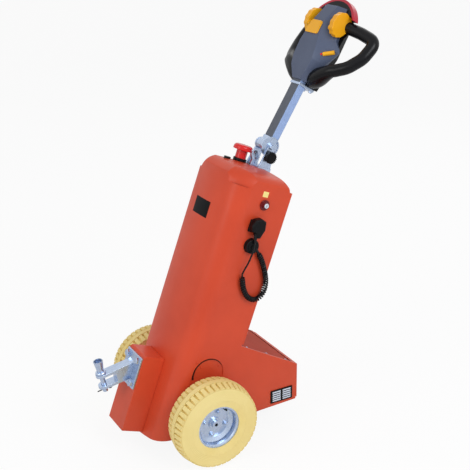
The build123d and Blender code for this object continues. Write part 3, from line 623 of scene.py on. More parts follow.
class Form:
    """A mesh drawn in millimetres in one working frame."""

    def __init__(self, place: Place) -> None:
        """Starts an empty mesh in that frame."""
        self.place = place
        self.mesh = bmesh.new()

    def box(self, x: tuple[float, float], y: tuple[float, float],
            z: tuple[float, float]) -> "Form":
        """Adds a box between pairs of limits.

        Args:
            x: Limits along x.
            y: Limits along y.
            z: Limits along z.

        Returns:
            This form.
        """
        made = bmesh.ops.create_cube(self.mesh, size=1.0)["verts"]
        for v in made:
            v.co = Vector([pair[0] + (c + 0.5) * (pair[1] - pair[0])
                           for pair, c in zip((x, y, z), v.co)])
        return self

    def prism(self, outline: list[tuple[float, float]], y: tuple[float, float]) -> "Form":
        """Adds a plate with an outline in x and z.

        Args:
            outline: Corners in order.
            y: Both faces.

        Returns:
            This form.
        """
        rings = [[self.mesh.verts.new((px, side, pz)) for px, pz in outline] for side in y]
        count = len(outline)
        self.mesh.faces.new(rings[0])
        self.mesh.faces.new(list(reversed(rings[1])))
        for i in range(count):
            j = (i + 1) % count
            self.mesh.faces.new((rings[0][i], rings[1][i], rings[1][j], rings[0][j]))
        return self

    def lathe(self, profile: list[tuple[float, float]], centre: Vector, axis: Vector,
              steps: int = 32) -> "Form":
        """Adds a turned piece.

        Args:
            profile: Radius and height along the axis; radius 0 closes an end.
            centre: Foot of the axis.
            axis: Direction of the axis.
            steps: Faces round it.

        Returns:
            This form.
        """
        turn = axis.normalized().to_track_quat("Z", "Y").to_matrix()
        rings = []
        for radius, rise in profile:
            if radius == 0:
                rings.append([self.mesh.verts.new(centre + turn @ Vector((0, 0, rise)))])
                continue
            ring = []
            for i in range(steps):
                a = 2 * math.pi * i / steps
                spot = Vector((radius * math.cos(a), radius * math.sin(a), rise))
                ring.append(self.mesh.verts.new(centre + turn @ spot))
            rings.append(ring)
        for low, high in zip(rings, rings[1:]):
            for i in range(steps):
                j = (i + 1) % steps
                corners = [low[i % len(low)], low[j % len(low)], high[j % len(high)],
                           high[i % len(high)]]
                unique = list(dict.fromkeys(corners))
                if len(unique) > 2:
                    self.mesh.faces.new(unique)
        return self

    def tube(self, points: list[Vector], radii: list[float], steps: int = 10) -> "Form":
        """Adds a round tube along points, closed at both ends.

        Args:
            points: Middle line.
            radii: Radius at each point.
            steps: Faces round it.

        Returns:
            This form.
        """
        rings = []
        across = None
        for i, spot in enumerate(points):
            ahead = (points[min(i + 1, len(points) - 1)] - points[max(i - 1, 0)]).normalized()
            if across is None:
                across = ahead.orthogonal().normalized()
            across = (across - ahead * across.dot(ahead)).normalized()
            other = ahead.cross(across)
            rings.append([self.mesh.verts.new(
                spot + radii[i] * (across * math.cos(2 * math.pi * k / steps)
                                   + other * math.sin(2 * math.pi * k / steps)))
                for k in range(steps)])
        for low, high in zip(rings, rings[1:]):
            for k in range(steps):
                m = (k + 1) % steps
                self.mesh.faces.new((low[k], low[m], high[m], high[k]))
        self.mesh.faces.new(list(reversed(rings[0])))
        self.mesh.faces.new(rings[-1])
        return self

    def bar(self, sections: list[list[tuple[float, float, float]]]) -> "Form":
        """Adds a bar through four-cornered sections, closed at both ends.

        Args:
            sections: Corners of each section, in order.

        Returns:
            This form.
        """
        rings = [[self.mesh.verts.new(spot) for spot in section] for section in sections]
        for low, high in zip(rings, rings[1:]):
            for k in range(4):
                m = (k + 1) % 4
                self.mesh.faces.new((low[k], low[m], high[m], high[k]))
        self.mesh.faces.new(rings[0])
        self.mesh.faces.new(list(reversed(rings[-1])))
        return self

    def finish(self, name: str, body: Body, slot: str, edge: float = 0.0) -> bpy.types.Object:
        """Places the mesh in the row frame and dresses it.

        Args:
            name: Name of the piece.
            body: Body that it rides on.
            slot: Finish.
            edge: Width of its rounded edges, in millimetres.

        Returns:
            The object.
        """
        self.mesh.transform(self.place.matrix())
        bmesh.ops.recalc_face_normals(self.mesh, faces=self.mesh.faces)
        data = bpy.data.meshes.new(name)
        self.mesh.to_mesh(data)
        self.mesh.free()
        return dress(link(name, data), body, slot, edge)


def smooth(data: bpy.types.Mesh) -> None:
    """Shades a mesh smooth, with its sharp folds kept.

    Args:
        data: The mesh.
    """
    mesh = bmesh.new()
    mesh.from_mesh(data)
    for face in mesh.faces:
        face.smooth = True
    for edge in mesh.edges:
        edge.smooth = len(edge.link_faces) == 2 and edge.calc_face_angle(0.0) < FOLD
    mesh.to_mesh(data)
    mesh.free()


def dress(obj: bpy.types.Object, body: Body, slot: str, edge: float) -> bpy.types.Object:
    """Gives a finished mesh its shading, edges, finish and body.

    Args:
        obj: Object at the origin.
        body: Body that it rides on.
        slot: Finish.
        edge: Width of its rounded edges, in millimetres.

    Returns:
        The object.
    """
    smooth(obj.data)
    if edge > 0:
        bevel = obj.modifiers.new("edges", "BEVEL")
        bevel.width = edge * MM
        bevel.segments = 2
        bevel.limit_method = "ANGLE"
        bevel.angle_limit = FOLD
        bevel.use_clamp_overlap = True
    even = obj.modifiers.new("even_shade", "WEIGHTED_NORMAL")
    even.keep_sharp = True
    obj.data.materials.clear()
    obj.data.materials.append(PALETTE.material(slot))
    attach(obj, body.value)
    return obj


class Softener:
    """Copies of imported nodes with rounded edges, which stand for the nodes."""

    WIDTHS: dict[str, float] = {
        "column_shell": 0.0, "nose_box": 2.5, "rear_cover": 1.2, "box_top_cover": 0.8,
        "box_rear_cover": 1.2, "head_shell": 2.2, "head_base": 2.0, "mains_plug": 1.2,
        "hitch_plate": 1.2, "hitch_jaw": 1.8, "tiller_tube": 2.5, "tiller_foot": 1.2,
        "tiller_bracket": 0.8, "tiller_clamp": 0.8, "belly_bow": 2.2, "plug_holder": 1.0,
        "tyre_left": 1.2, "tyre_right": 1.2, "lock_link": 0.6, "stop_collar": 0.8,
        "cable_gland": 1.5, "key_switch": 0.6, "top_cap": 0.8, "castor_fork": 0.8,
    }
    MERGE = 2e-6                 # between corners that become one, in metres
    FLAT = math.radians(0.6)     # folds below this are taken out

    def copy(self, node: str) -> bpy.types.Object:
        """Merged and rounded copy of one node.

        Args:
            node: Name of the node.

        Returns:
            The copy, which replaces the node.
        """
        source = frame["nodes"][node]
        mesh = bmesh.new()
        mesh.from_mesh(source.data)
        bmesh.ops.remove_doubles(mesh, verts=mesh.verts, dist=self.MERGE)
        if self.WIDTHS[node] > 0:
            bmesh.ops.dissolve_limit(mesh, angle_limit=self.FLAT, verts=mesh.verts,
                                     edges=mesh.edges, use_dissolve_boundaries=False)
        data = bpy.data.meshes.new(node + "_dressed")
        mesh.to_mesh(data)
        mesh.free()
        obj = link(node + "_dressed", data)
        dress(obj, Body(source["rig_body"]), SLOTS[node], self.WIDTHS[node])
        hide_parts(node)
        # the tube's faces across the machine get painted shade
        if node == "tiller_tube":
            self.paint_shade_on_fronts(obj)
        # the lid gets a darker copy of the body paint: painted shade
        if node == "box_top_cover":
            obj.data.materials[0] = PALETTE.material("lid_painted_shade")
        return obj

    def paint_shade_on_fronts(self, obj: bpy.types.Object) -> None:
        """Gives the faces across the machine a darker copy of the tube's finish: painted shade.

        Args:
            obj: Copy of the tiller's tube.
        """
        obj.data.materials.append(PALETTE.material("tube_painted_shade"))
        for face in obj.data.polygons:
            face.material_index = 1 if abs(face.normal.y) < 0.5 else 0

    def build(self) -> dict[str, bpy.types.Object]:
        """All copies.

        Returns:
            The copies by node.
        """
        return {node: self.copy(node) for node in self.WIDTHS}


class CarriedNodes:
    """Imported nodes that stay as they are, with the finish of their slot."""

    def build(self) -> int:
        """Dresses every node.

        Returns:
            How many nodes were dressed.
        """
        for node, obj in frame["nodes"].items():
            obj.data.materials.clear()
            obj.data.materials.append(PALETTE.material(SLOTS[node]))
        return len(frame["nodes"])


# ---- repeated small parts


class Head(Enum):
    """Kinds of fastener heads: sides, radius, height, washer radius, in millimetres."""

    HEX_M12 = (6, 10.4, 8.2, 12.6)
    HEX_M8 = (6, 7.4, 5.3, 8.8)
    HEX_M6 = (6, 5.6, 4.0, 6.4)
    BUTTON = (16, 2.9, 1.6, 3.3)
    PAN = (16, 3.4, 1.6, 3.5)
    RIB = (12, 1.3, 9.0, 1.3)


class FastenerTree:
    """Geometry Nodes tree that sets a head with a washer on every point of a mesh."""

    INPUTS = (("Sides", "NodeSocketInt"), ("Radius", "NodeSocketFloat"),
              ("Height", "NodeSocketFloat"), ("Washer Radius", "NodeSocketFloat"),
              ("Washer Height", "NodeSocketFloat"), ("Material", "NodeSocketMaterial"))
    CROWN = (0.82, 0.22)    # top radius and height of the chamfer, as shares of the head's

    def __init__(self) -> None:
        """Builds the tree."""
        self.tree = bpy.data.node_groups.new("fastener_heads", "GeometryNodeTree")
        face = self.tree.interface
        face.new_socket(name="Geometry", in_out="INPUT", socket_type="NodeSocketGeometry")
        self.keys = {name: face.new_socket(name=name, in_out="INPUT", socket_type=kind).identifier
                     for name, kind in self.INPUTS}
        face.new_socket(name="Geometry", in_out="OUTPUT", socket_type="NodeSocketGeometry")
        self._fill()

    def _node(self, kind: str, **links: object) -> bpy.types.Node:
        """Adds a node.

        Args:
            kind: The node's type.
            links: Values or output sockets by input name, with spaces as underscores.

        Returns:
            The node.
        """
        node = self.tree.nodes.new(kind)
        for key, value in links.items():
            socket = node.inputs[key.replace("_", " ")]
            if isinstance(value, bpy.types.NodeSocket):
                self.tree.links.new(value, socket)
            else:
                socket.default_value = value
        return node

    def _fill(self) -> None:
        """Adds the nodes: washer, body of the head and its chamfered top, on each point."""
        given = self.tree.nodes.new("NodeGroupInput").outputs
        disc = self._node("GeometryNodeMeshCylinder", Vertices=24,
                          Radius=given["Washer Radius"], Depth=given["Washer Height"])
        trunk = self._node("GeometryNodeMeshCylinder", Vertices=given["Sides"],
                           Radius=given["Radius"], Depth=given["Height"])
        crown = self.tree.nodes.new("GeometryNodeMeshCone")
        narrow = self._scaled(given["Radius"], self.CROWN[0])
        thin = self._scaled(given["Height"], self.CROWN[1])
        for key, value in (("Vertices", given["Sides"]), ("Radius Top", narrow),
                           ("Radius Bottom", given["Radius"]), ("Depth", thin)):
            self.tree.links.new(value, crown.inputs[key])
        up = self._raised(given["Height"], 0.5)
        top = self._raised(given["Height"], 1.0)
        trunk_up = self._node("GeometryNodeTransform", Geometry=trunk.outputs["Mesh"],
                              Translation=up)
        crown_up = self._node("GeometryNodeTransform", Geometry=crown.outputs["Mesh"],
                              Translation=top)
        join = self.tree.nodes.new("GeometryNodeJoinGeometry")
        for part in (disc.outputs["Mesh"], trunk_up.outputs[0], crown_up.outputs[0]):
            self.tree.links.new(part, join.inputs[0])
        facing = self.tree.nodes.new("GeometryNodeInputNamedAttribute")
        facing.data_type = "FLOAT_VECTOR"
        facing.inputs["Name"].default_value = "facing"
        align = self.tree.nodes.new("FunctionNodeAlignRotationToVector")
        align.axis = "Z"
        self.tree.links.new(facing.outputs[0], align.inputs["Vector"])
        spread = self._node("GeometryNodeInstanceOnPoints", Points=given["Geometry"],
                            Instance=join.outputs[0], Rotation=align.outputs[0])
        real = self._node("GeometryNodeRealizeInstances", Geometry=spread.outputs[0])
        painted = self._node("GeometryNodeSetMaterial", Geometry=real.outputs[0],
                             Material=given["Material"])
        out = self.tree.nodes.new("NodeGroupOutput")
        self.tree.links.new(painted.outputs[0], out.inputs["Geometry"])

    def _scaled(self, value: bpy.types.NodeSocket, by: float) -> bpy.types.NodeSocket:
        """Scales a value.

        Args:
            value: The value's socket.
            by: Number that it is multiplied by.

        Returns:
            The product's socket.
        """
        node = self.tree.nodes.new("ShaderNodeMath")
        node.operation = "MULTIPLY"
        self.tree.links.new(value, node.inputs[0])
        node.inputs[1].default_value = by
        return node.outputs[0]

    def _raised(self, value: bpy.types.NodeSocket, by: float) -> bpy.types.NodeSocket:
        """Makes an upright vector.

        Args:
            value: Socket of its length.
            by: Number that the length is multiplied by.

        Returns:
            The vector's socket.
        """
        node = self.tree.nodes.new("ShaderNodeCombineXYZ")
        self.tree.links.new(self._scaled(value, by), node.inputs["Z"])
        return node.outputs[0]


class Fasteners:
    """Rows of fastener heads made by one Geometry Nodes tree."""

    WASHER = 1.6    # height of every washer

    def __init__(self) -> None:
        """Makes the tree once for all rows."""
        self.heads = FastenerTree()

    def row(self, name: str, place: Place, spots: list[tuple[float, float, float]],
            facing: tuple[float, float, float] | list[tuple[float, float, float]], head: Head,
            body: Body, slot: str = "zinc") -> bpy.types.Object:
        """One row of heads as a plain mesh.

        Args:
            name: Name of the piece.
            place: Frame of the spots.
            spots: Feet of the heads.
            facing: Direction that the heads face, one for all or one each.
            head: Kind of head.
            body: Body that the row rides on.
            slot: Finish.

        Returns:
            The object.
        """
        matrix = place.matrix()
        ways = facing if isinstance(facing, list) else [facing] * len(spots)
        turn = matrix.to_3x3()
        data = bpy.data.meshes.new(name + "_spots")
        data.from_pydata([matrix @ Vector(s) for s in spots], [], [])
        store = data.attributes.new("facing", "FLOAT_VECTOR", "POINT")
        for item, way in zip(store.data, ways):
            item.vector = (turn @ Vector(way)).normalized()
        host = link(name + "_spots", data)
        sides, radius, height, washer = head.value
        modifier = host.modifiers.new("heads", "NODES")
        modifier.node_group = self.heads.tree
        for key, value in (("Sides", sides), ("Radius", radius * MM), ("Height", height * MM),
                           ("Washer Radius", washer * MM), ("Washer Height", self.WASHER * MM),
                           ("Material", PALETTE.material(slot))):
            modifier[self.heads.keys[key]] = value
        graph = bpy.context.evaluated_depsgraph_get()
        made = bpy.data.meshes.new_from_object(host.evaluated_get(graph))
        host.modifiers.clear()
        bpy.data.objects.remove(host)
        made.name = name
        return dress(link(name, made), body, slot, 0.0)


# ---- sub-assemblies


@dataclass
class ChargingCord:
    """Curled charging cord from its gland to the plug, and the boots at both ends."""

    radius: float = 2.5
    coil: float = 6.1
    turns: float = 42.0
    ramp: float = 16.0
    end_ramp: float = 7.0
    lead_in: float = 12.0
    curl_length: float = 284.0
    turn_points: float = 14.0
    rib: float = 0.35
    gland_boot: tuple[float, float, float] = (5.6, 3.2, 22.0)
    plug_boot: tuple[float, float, float] = (6.0, 3.2, 24.0)
    controls: tuple[tuple[float, float, float], ...] = (
        (-177.0, 142.0, 481.0), (-188.0, 142.0, 462.0), (-199.0, 142.0, 438.0),
        (-208.0, 142.0, 405.0), (-213.0, 142.0, 371.0), (-206.0, 142.0, 341.0),
        (-190.0, 142.0, 324.0), (-170.0, 142.0, 321.0), (-150.0, 142.0, 334.0),
        (-138.0, 142.0, 358.0), (-134.0, 142.0, 385.0), (-133.5, 142.0, 410.0),
        (-133.0, 147.0, 416.0), (-138.0, 150.0, 428.0), (-150.0, 153.0, 448.0),
        (-163.0, 153.0, 474.0), (-171.0, 151.0, 500.0), (-175.5, 149.0, 526.0))

    def route(self) -> list[Vector]:
        """Points of the smooth course, read from its spline.

        Returns:
            The points, in millimetres of the base frame.
        """
        curve = bpy.data.curves.new("route", "CURVE")
        curve.dimensions = "3D"
        spline = curve.splines.new("NURBS")
        spline.points.add(len(self.controls) - 1)
        for point, spot in zip(spline.points, self.controls):
            point.co = (*spot, 1.0)
        spline.use_endpoint_u = True
        spline.order_u = 3
        spline.resolution_u = 40
        host = bpy.data.objects.new("route", curve)
        mesh = bpy.data.meshes.new_from_object(host)
        points = [v.co.copy() for v in mesh.vertices]
        bpy.data.objects.remove(host)
        return points

    def wire(self) -> list[Vector]:
        """Middle line of the cord, wound about the course where it is curled.

        Returns:
            The points, in millimetres of the base frame.
        """
        course = self.route()
        run = 0.0
        across = Vector((0.0, 1.0, 0.0))
        wound = [course[0].copy()]
        step = self.curl_length / self.turns / self.turn_points
        carry = 0.0
        for start, end in zip(course, course[1:]):
            length = (end - start).length
            if length < 1e-6:
                continue
            ahead = (end - start) / length
            across = (across - ahead * across.dot(ahead)).normalized()
            other = ahead.cross(across)
            carry += length
            run += length
            if carry < step:
                continue
            carry = 0.0
            rise = min(1.0, max(0.0, (run - self.lead_in) / self.ramp))
            fall = min(1.0, max(0.0, (self.curl_length - run) / self.end_ramp))
            share = min(rise, fall)
            share = share * share * (3.0 - 2.0 * share)
            phase = 2.0 * math.pi * self.turns * run / self.curl_length
            wound.append(end + self.coil * share * (across * math.cos(phase)
                                                    + other * math.sin(phase)))
        if (course[-1] - wound[-1]).length < step:
            wound.pop()
        wound.append(course[-1].copy())
        return wound

    def boot(self, name: str, line: list[Vector],
             sizes: tuple[float, float, float]) -> bpy.types.Object:
        """Tapered, ribbed strain relief round one end of the cord.

        Args:
            name: Name of the piece.
            line: Middle line, from the end that is held.
            sizes: Radius where it is held, radius at its free end, and length.

        Returns:
            The object.
        """
        wide, slim, length = sizes
        kept = [line[0]]
        run = 0.0
        for a, b in zip(line, line[1:]):
            run += (b - a).length
            if run > length:
                break
            kept.append(b)
        count = len(kept) - 1
        radii = [wide + (slim - wide) * i / count
                 + (self.rib if i % 4 < 2 and 0 < i < count else 0.0) for i in range(count + 1)]
        return Form(Place.BASE).tube(kept, radii, 18).finish(name, Body.CHASSIS, "cord_black")

    def build(self, plug: bpy.types.Object) -> bpy.types.Object:
        """Makes the cord and its boots.

        Args:
            plug: The plug on its end; not used.

        Returns:
            The cord.
        """
        line = self.wire()
        cord = Form(Place.BASE).tube(line, [self.radius] * len(line), 10).finish(
            "charging_cord", Body.CHASSIS, "cord_black")
        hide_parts("cord_curl", "cord_lead")
        course = self.route()
        gland = self.boot("gland_boot", course, self.gland_boot)
        neck = self.boot("plug_boot", list(reversed(course)), self.plug_boot)
        matrix = Place.BASE.matrix()
        path = [matrix @ p for p in line]
        length = sum((b - a).length for a, b in zip(path, path[1:]))
        LOG.info("cord %.3f m", length)
        return cord


@dataclass
class Viewpoint:
    """Camera of the photograph, fitted to the machine."""

    spot: tuple[float, float, float] = (1.24834, 2.2931, 1.5897)
    aim: tuple[float, float, float] = (-0.04376, 0.0, 0.6024)
    lens: float = 72.57
    sensor: float = 36.0
    roll: float = math.radians(-0.63)

    def build(self) -> bpy.types.Object:
        """Makes the camera.

        Returns:
            The camera.
        """
        data = bpy.data.cameras.new("view")
        data.lens = self.lens
        data.sensor_width = self.sensor
        camera = link("view", data)
        ahead = (Vector(self.aim) - Vector(self.spot)).normalized()
        right = ahead.cross(Vector((0, 0, 1))).normalized()
        up = right.cross(ahead)
        c, s = math.cos(self.roll), math.sin(self.roll)
        turned = (c * right + s * up, -s * right + c * up, -ahead)
        camera.matrix_world = Matrix.Translation(self.spot) @ Matrix(turned).transposed().to_4x4()
        bpy.context.scene.camera = camera
        return camera


@dataclass
class Studio:
    """Pale floor, soft lamps and a white surround."""

    half: float = 40.0
    sky: float = 0.5
    glow: float = 0.9
    tones: tuple[tuple[int, int, int], tuple[int, int, int]] = (
        (250, 250, 250), (246, 246, 247))
    aim: tuple[float, float, float] = (-0.05, 0.0, 0.6)
    lamps: tuple[tuple[str, tuple[float, float, float], float, float, tuple], ...] = (
        ("lamp_side", (-0.6, 3.4, 3.0), 2.2, 70.0, (0.93, 0.96, 1.0)),
        ("lamp_front", (3.2, 0.6, 2.4), 2.2, 30.0, (1.0, 0.98, 0.95)),
        ("lamp_back", (-2.6, -2.2, 2.8), 2.4, 16.0, (1.0, 1.0, 1.0)),
    )

    def floor(self) -> bpy.types.Object:
        """Floor that is white to the camera and keeps the machine's shadow.

        Returns:
            The floor.
        """
        board = Board("floor_pale")
        point = board.coordinates()
        shade = board.blend(board.noise(point, 2.0), linear(self.tones[0]), linear(self.tones[1]))
        matt = board.add("ShaderNodeBsdfPrincipled", {}, {"Base Color": shade, "Roughness": 0.9})
        glow = board.add("ShaderNodeEmission", {}, {"Color": (1, 1, 1, 1), "Strength": 1.0})
        seen = board.add("ShaderNodeLightPath", {}, {}).outputs["Is Camera Ray"]
        mix = board.add("ShaderNodeMixShader", {}, {
            0: Wire(board, seen) * self.glow, 1: matt.outputs[0], 2: glow.outputs[0]})
        board.add("ShaderNodeOutputMaterial", {}, {"Surface": mix.outputs[0]})
        h = self.half
        data = bpy.data.meshes.new("floor")
        data.from_pydata([(-h, -h, 0), (h, -h, 0), (h, h, 0), (-h, h, 0)], [], [(0, 1, 2, 3)])
        data.materials.append(board.material)
        obj = link("floor", data)
        obj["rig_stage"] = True
        return obj

    def surround(self) -> None:
        """World: soft light, and white where it is seen or reflected."""
        world = bpy.data.worlds.new("surround")
        world.use_nodes = True
        tree = world.node_tree
        tree.nodes.clear()
        soft = tree.nodes.new("ShaderNodeBackground")
        soft.inputs["Color"].default_value = (1, 1, 1, 1)
        soft.inputs["Strength"].default_value = self.sky
        white = tree.nodes.new("ShaderNodeBackground")
        white.inputs["Color"].default_value = (1, 1, 1, 1)
        white.inputs["Strength"].default_value = 1.0
        path = tree.nodes.new("ShaderNodeLightPath")
        total = path.outputs["Is Camera Ray"]
        for kind in ("Is Glossy Ray", "Is Transmission Ray"):
            both = tree.nodes.new("ShaderNodeMath")
            both.operation = "MAXIMUM"
            tree.links.new(total, both.inputs[0])
            tree.links.new(path.outputs[kind], both.inputs[1])
            total = both.outputs[0]
        mix = tree.nodes.new("ShaderNodeMixShader")
        out = tree.nodes.new("ShaderNodeOutputWorld")
        tree.links.new(total, mix.inputs[0])
        tree.links.new(soft.outputs[0], mix.inputs[1])
        tree.links.new(white.outputs[0], mix.inputs[2])
        tree.links.new(mix.outputs[0], out.inputs[0])
        bpy.context.scene.world = world

    def build(self) -> None:
        """Makes floor, world and lamps."""
        self.floor()
        self.surround()
        for name, spot, size, power, colour in self.lamps:
            data = bpy.data.lights.new(name, "AREA")
            data.shape = "DISK"
            data.size = size
            data.energy = power
            data.color = colour
            lamp = link(name, data)
            lamp.location = spot
            aim = Vector(self.aim) - Vector(spot)
            lamp.rotation_euler = aim.to_track_quat("-Z", "Y").to_euler()
        bpy.context.scene.view_settings.view_transform = "Standard"


@dataclass
class Column:
    """Blank films, painted shadow in the gaps of the arches and the lid, screws and louvres on the
    body.
    """

    front: float = 128.0
    bow: float = 26.0
    rear: float = -73.4
    rear_screw_y: float = 117.0
    rear_screw_z: tuple[float, ...] = (236.0, 375.0, 515.0, 655.0)
    sticker_y: tuple[float, float] = (-44.0, 38.0)
    sticker_z: tuple[float, float] = (549.0, 597.0)
    sticker_steps: int = 12
    sticker_faces: tuple[float, float] = (0.3, 0.35)    # behind and before the bowed front
    label: tuple[float, float] = (17.0, 667.0)
    label_half: tuple[float, float] = (9.0, 8.0)
    label_faces: tuple[float, float] = (0.2, 0.4)       # inside and outside the side
    arch: tuple[float, float, float] = (19.0, 114.0, 50.9)
    # painted shadow strip in the gap round the arch
    shadow_ends: tuple[float, float] = (math.radians(-25.0), math.radians(138.0))
    shadow_steps: int = 36
    shadow_width: tuple[float, float] = (0.5, 4.0)        # least width, and what is added to it
    shadow_sink: tuple[float, float] = (3.2, 0.3)         # of its faces from the side
    screw_sink: float = 3.0
    arch_screws: tuple[tuple[float, float, bool], ...] = (
        (68.0, 147.0, True), (-9.5, 146.0, False), (47.0, 133.0, False))
    vent_x: tuple[float, float] = (-307.0, -242.0)
    vent_z: tuple[float, float] = (-43.0, -7.0)
    vent_post: float = 3.4
    vent_faces: tuple[float, float] = (0.5, 3.4)
    louvre_rows: int = 5
    louvre_half: float = 2.2
    box_top: tuple[float, float] = (-137.0, 175.0)
    box_foot: tuple[float, float] = (-327.0, 67.6)
    box_rear: float = -334.0
    box_screw_y: float = 112.0
    box_screw_z: tuple[float, float] = (-42.0, 50.0)
    lid_screws: tuple[float, ...] = (-30.0, -108.0, -186.0)
    lid_screw_y: float = 116.0
    lid_sink: float = 2.0
    lid_x: tuple[float, float] = (-208.0, -8.0)
    lid_half: float = 124.0
    # painted shadow strips in the gap round the sunk lid
    gap_wide: float = 1.8
    gap_z: tuple[float, float] = (-3.0, -1.2)

    def front_at(self, y: float) -> float:
        """Place of the bowed front at a distance from the middle."""
        radius = (HALF ** 2 + self.bow ** 2) / (2 * self.bow)
        return self.front - radius + math.sqrt(radius ** 2 - y ** 2)

    def sticker(self) -> bpy.types.Object:
        """Blank black film on the bowed front.

        Returns:
            The film.
        """
        (y0, y1), (z0, z1) = self.sticker_y, self.sticker_z
        inner, outer = self.sticker_faces
        sections = []
        for i in range(self.sticker_steps + 1):
            y = y0 + (y1 - y0) * i / self.sticker_steps
            x = self.front_at(y)
            sections.append([(x - inner, y, z0), (x - inner, y, z1), (x + outer, y, z1),
                             (x + outer, y, z0)])
        return Form(Place.COLUMN).bar(sections).finish("front_film", Body.CHASSIS,
                                                       "sticker_black")

    def arch_painted_shadow(self, side: float, name: str) -> bpy.types.Object:
        """Painted shadow in the gap round the arch: a dark strip, widest at the front and closed
        at the back.

        Args:
            side: 1 for the near side, -1 for the far side.
            name: Name of the piece.

        Returns:
            The painted shadow strip.
        """
        x, z, radius = self.arch
        start, end = self.shadow_ends
        least, more = self.shadow_width
        low, high = sorted(side * (HALF - sink) for sink in self.shadow_sink)
        sections = []
        for i in range(self.shadow_steps + 1):
            share = i / self.shadow_steps
            a = start + (end - start) * share
            width = least + more * max(0.0, math.sin(math.pi * (0.3 + 0.7 * share))) ** 0.8
            outer = (x + radius * math.cos(a), z + radius * math.sin(a))
            inner = (x + (radius - width) * math.cos(a), z + (radius - width) * math.sin(a))
            sections.append([(outer[0], low, outer[1]), (inner[0], low, inner[1]),
                             (inner[0], high, inner[1]), (outer[0], high, outer[1])])
        return Form(Place.COLUMN).bar(sections).finish(name, Body.CHASSIS, "arch_shade")

    def louvres(self) -> bpy.types.Object:
        """Pale bars behind the vent's openings.

        Returns:
            The bars.
        """
        form = Form(Place.BASE)
        middle, half = sum(self.vent_x) / 2, self.louvre_half
        pitch = (self.vent_z[1] - self.vent_z[0]) / self.louvre_rows
        for row in range(self.louvre_rows):
            z = self.vent_z[0] + pitch * (row + 0.5)
            for x0, x1 in ((self.vent_x[0], middle - self.vent_post),
                           (middle + self.vent_post, self.vent_x[1])):
                form.prism([(x0, z - half), (x1, z - half), (x1, z + half), (x0, z + half)],
                           (HALF + self.vent_faces[0], HALF + self.vent_faces[1]))
        return form.finish("vent_louvres", Body.CHASSIS, "louvre", 0.4)

    def lid_gap_shadow(self, slope: float) -> bpy.types.Object:
        """Painted shadow in the gap round the sunk lid.

        Args:
            slope: Fall of the lid to the back, in radians.

        Returns:
            The dark strips of painted shadow.
        """
        form = Form(Place.BASE)
        (x0, x1), half, wide = self.lid_x, self.lid_half, self.gap_wide
        for x, y in (((x0, x1), (half - wide, half)), ((x0, x1), (-half, wide - half)),
                     ((x0, x0 + wide), (wide - half, half - wide)),
                     ((x1 - wide, x1), (wide - half, half - wide))):
            form.box(x, y, self.gap_z)
        top_x, top_z = self.box_top
        turn = Matrix.Translation((top_x, 0, top_z)) @ Matrix.Rotation(-slope, 4, "Y")
        form.mesh.transform(turn)
        return form.finish("lid_gap_shadow", Body.CHASSIS, "arch_shade")

    def build(self, fasteners: Fasteners) -> None:
        """Makes the body's small pieces.

        Args:
            fasteners: Maker of the screw rows.
        """
        self.sticker()
        x, z = self.label
        dx, dz = self.label_half
        plate = Form(Place.COLUMN).prism(
            [(x - dx, z - dz), (x + dx, z - dz), (x + dx, z + dz), (x - dx, z + dz)],
            (HALF - self.label_faces[0], HALF + self.label_faces[1]))
        plate.finish("side_film", Body.CHASSIS, "sticker_yellow", 0.15)
        for side, name in ((NEAR, "left"), (FAR_SIDE, "right")):
            # painted shadow strips in the gaps round the arches
            self.arch_painted_shadow(side, "arch_seal_" + name)
            fasteners.row("arch_screws_" + name, Place.COLUMN,
                          [(a, side * (HALF if far else HALF - self.screw_sink), b)
                           for a, b, far in self.arch_screws], (0, side, 0),
                          Head.BUTTON, Body.CHASSIS, "body_paint")
        self.louvres()
        spots = [(self.rear, y, z) for y in (-self.rear_screw_y, self.rear_screw_y)
                 for z in self.rear_screw_z]
        fasteners.row("rear_cover_screws", Place.COLUMN, spots, (-1, 0, 0), Head.PAN, Body.CHASSIS)
        (top_x, top_z), (foot_x, foot_z) = self.box_top, self.box_foot
        slope, sink = math.atan2(top_z - foot_z, top_x - foot_x), self.lid_sink
        spots = [(top_x + u * math.cos(slope) + sink * math.sin(slope), y,
                  top_z + u * math.sin(slope) - sink * math.cos(slope))
                 for u in self.lid_screws for y in (-self.lid_screw_y, self.lid_screw_y)]
        fasteners.row("lid_screws", Place.BASE, spots, (-math.sin(slope), 0, math.cos(slope)),
                      Head.PAN, Body.CHASSIS)
        # painted shadow strips in the gap round the sunk lid
        self.lid_gap_shadow(slope)
        spots = [(self.box_rear, y, z) for y in (-self.box_screw_y, self.box_screw_y)
                 for z in self.box_screw_z]
        fasteners.row("box_cover_screws", Place.BASE, spots, (-1, 0, 0), Head.PAN, Body.CHASSIS)


@dataclass
class SideControls:
    """Barrel and slot of the key switch, and nut of the gland."""

    key: tuple[float, float] = (11.0, 637.0)
    key_face: float = 11.0
    slot_half: tuple[float, float] = (0.7, 3.6)
    slot_faces: tuple[float, float] = (13.2, 13.7)
    gland: tuple[float, float] = (15.0, 515.0)

    def build(self) -> None:
        """Makes the pieces."""
        x, z = self.key
        foot = Vector((x, HALF + self.key_face, z))
        out = Vector((0, 1, 0))
        Form(Place.COLUMN).lathe(
            [(0, -0.5), (7.4, -0.5), (7.4, 1.6), (6.6, 2.4), (0, 2.4)], foot, out, 36).finish(
            "key_barrel", Body.CHASSIS, "chrome")
        wide, tall = self.slot_half
        Form(Place.COLUMN).box(
            (x - wide, x + wide), (HALF + self.slot_faces[0], HALF + self.slot_faces[1]),
            (z - tall, z + tall)).finish("key_slot", Body.CHASSIS, "black_plastic", 0.1)
        x, z = self.gland
        Form(Place.COLUMN).lathe(
            [(20.4, 0), (22.4, 0.4), (22.4, 2.6), (20.4, 3.4), (15.0, 13.6), (15.0, 15.4),
             (9.0, 15.9), (8.0, 14.4), (0, 14.4)],
            Vector((x, HALF, z)), out, 40).finish("gland_nut", Body.CHASSIS, "black_plastic", 0.4)


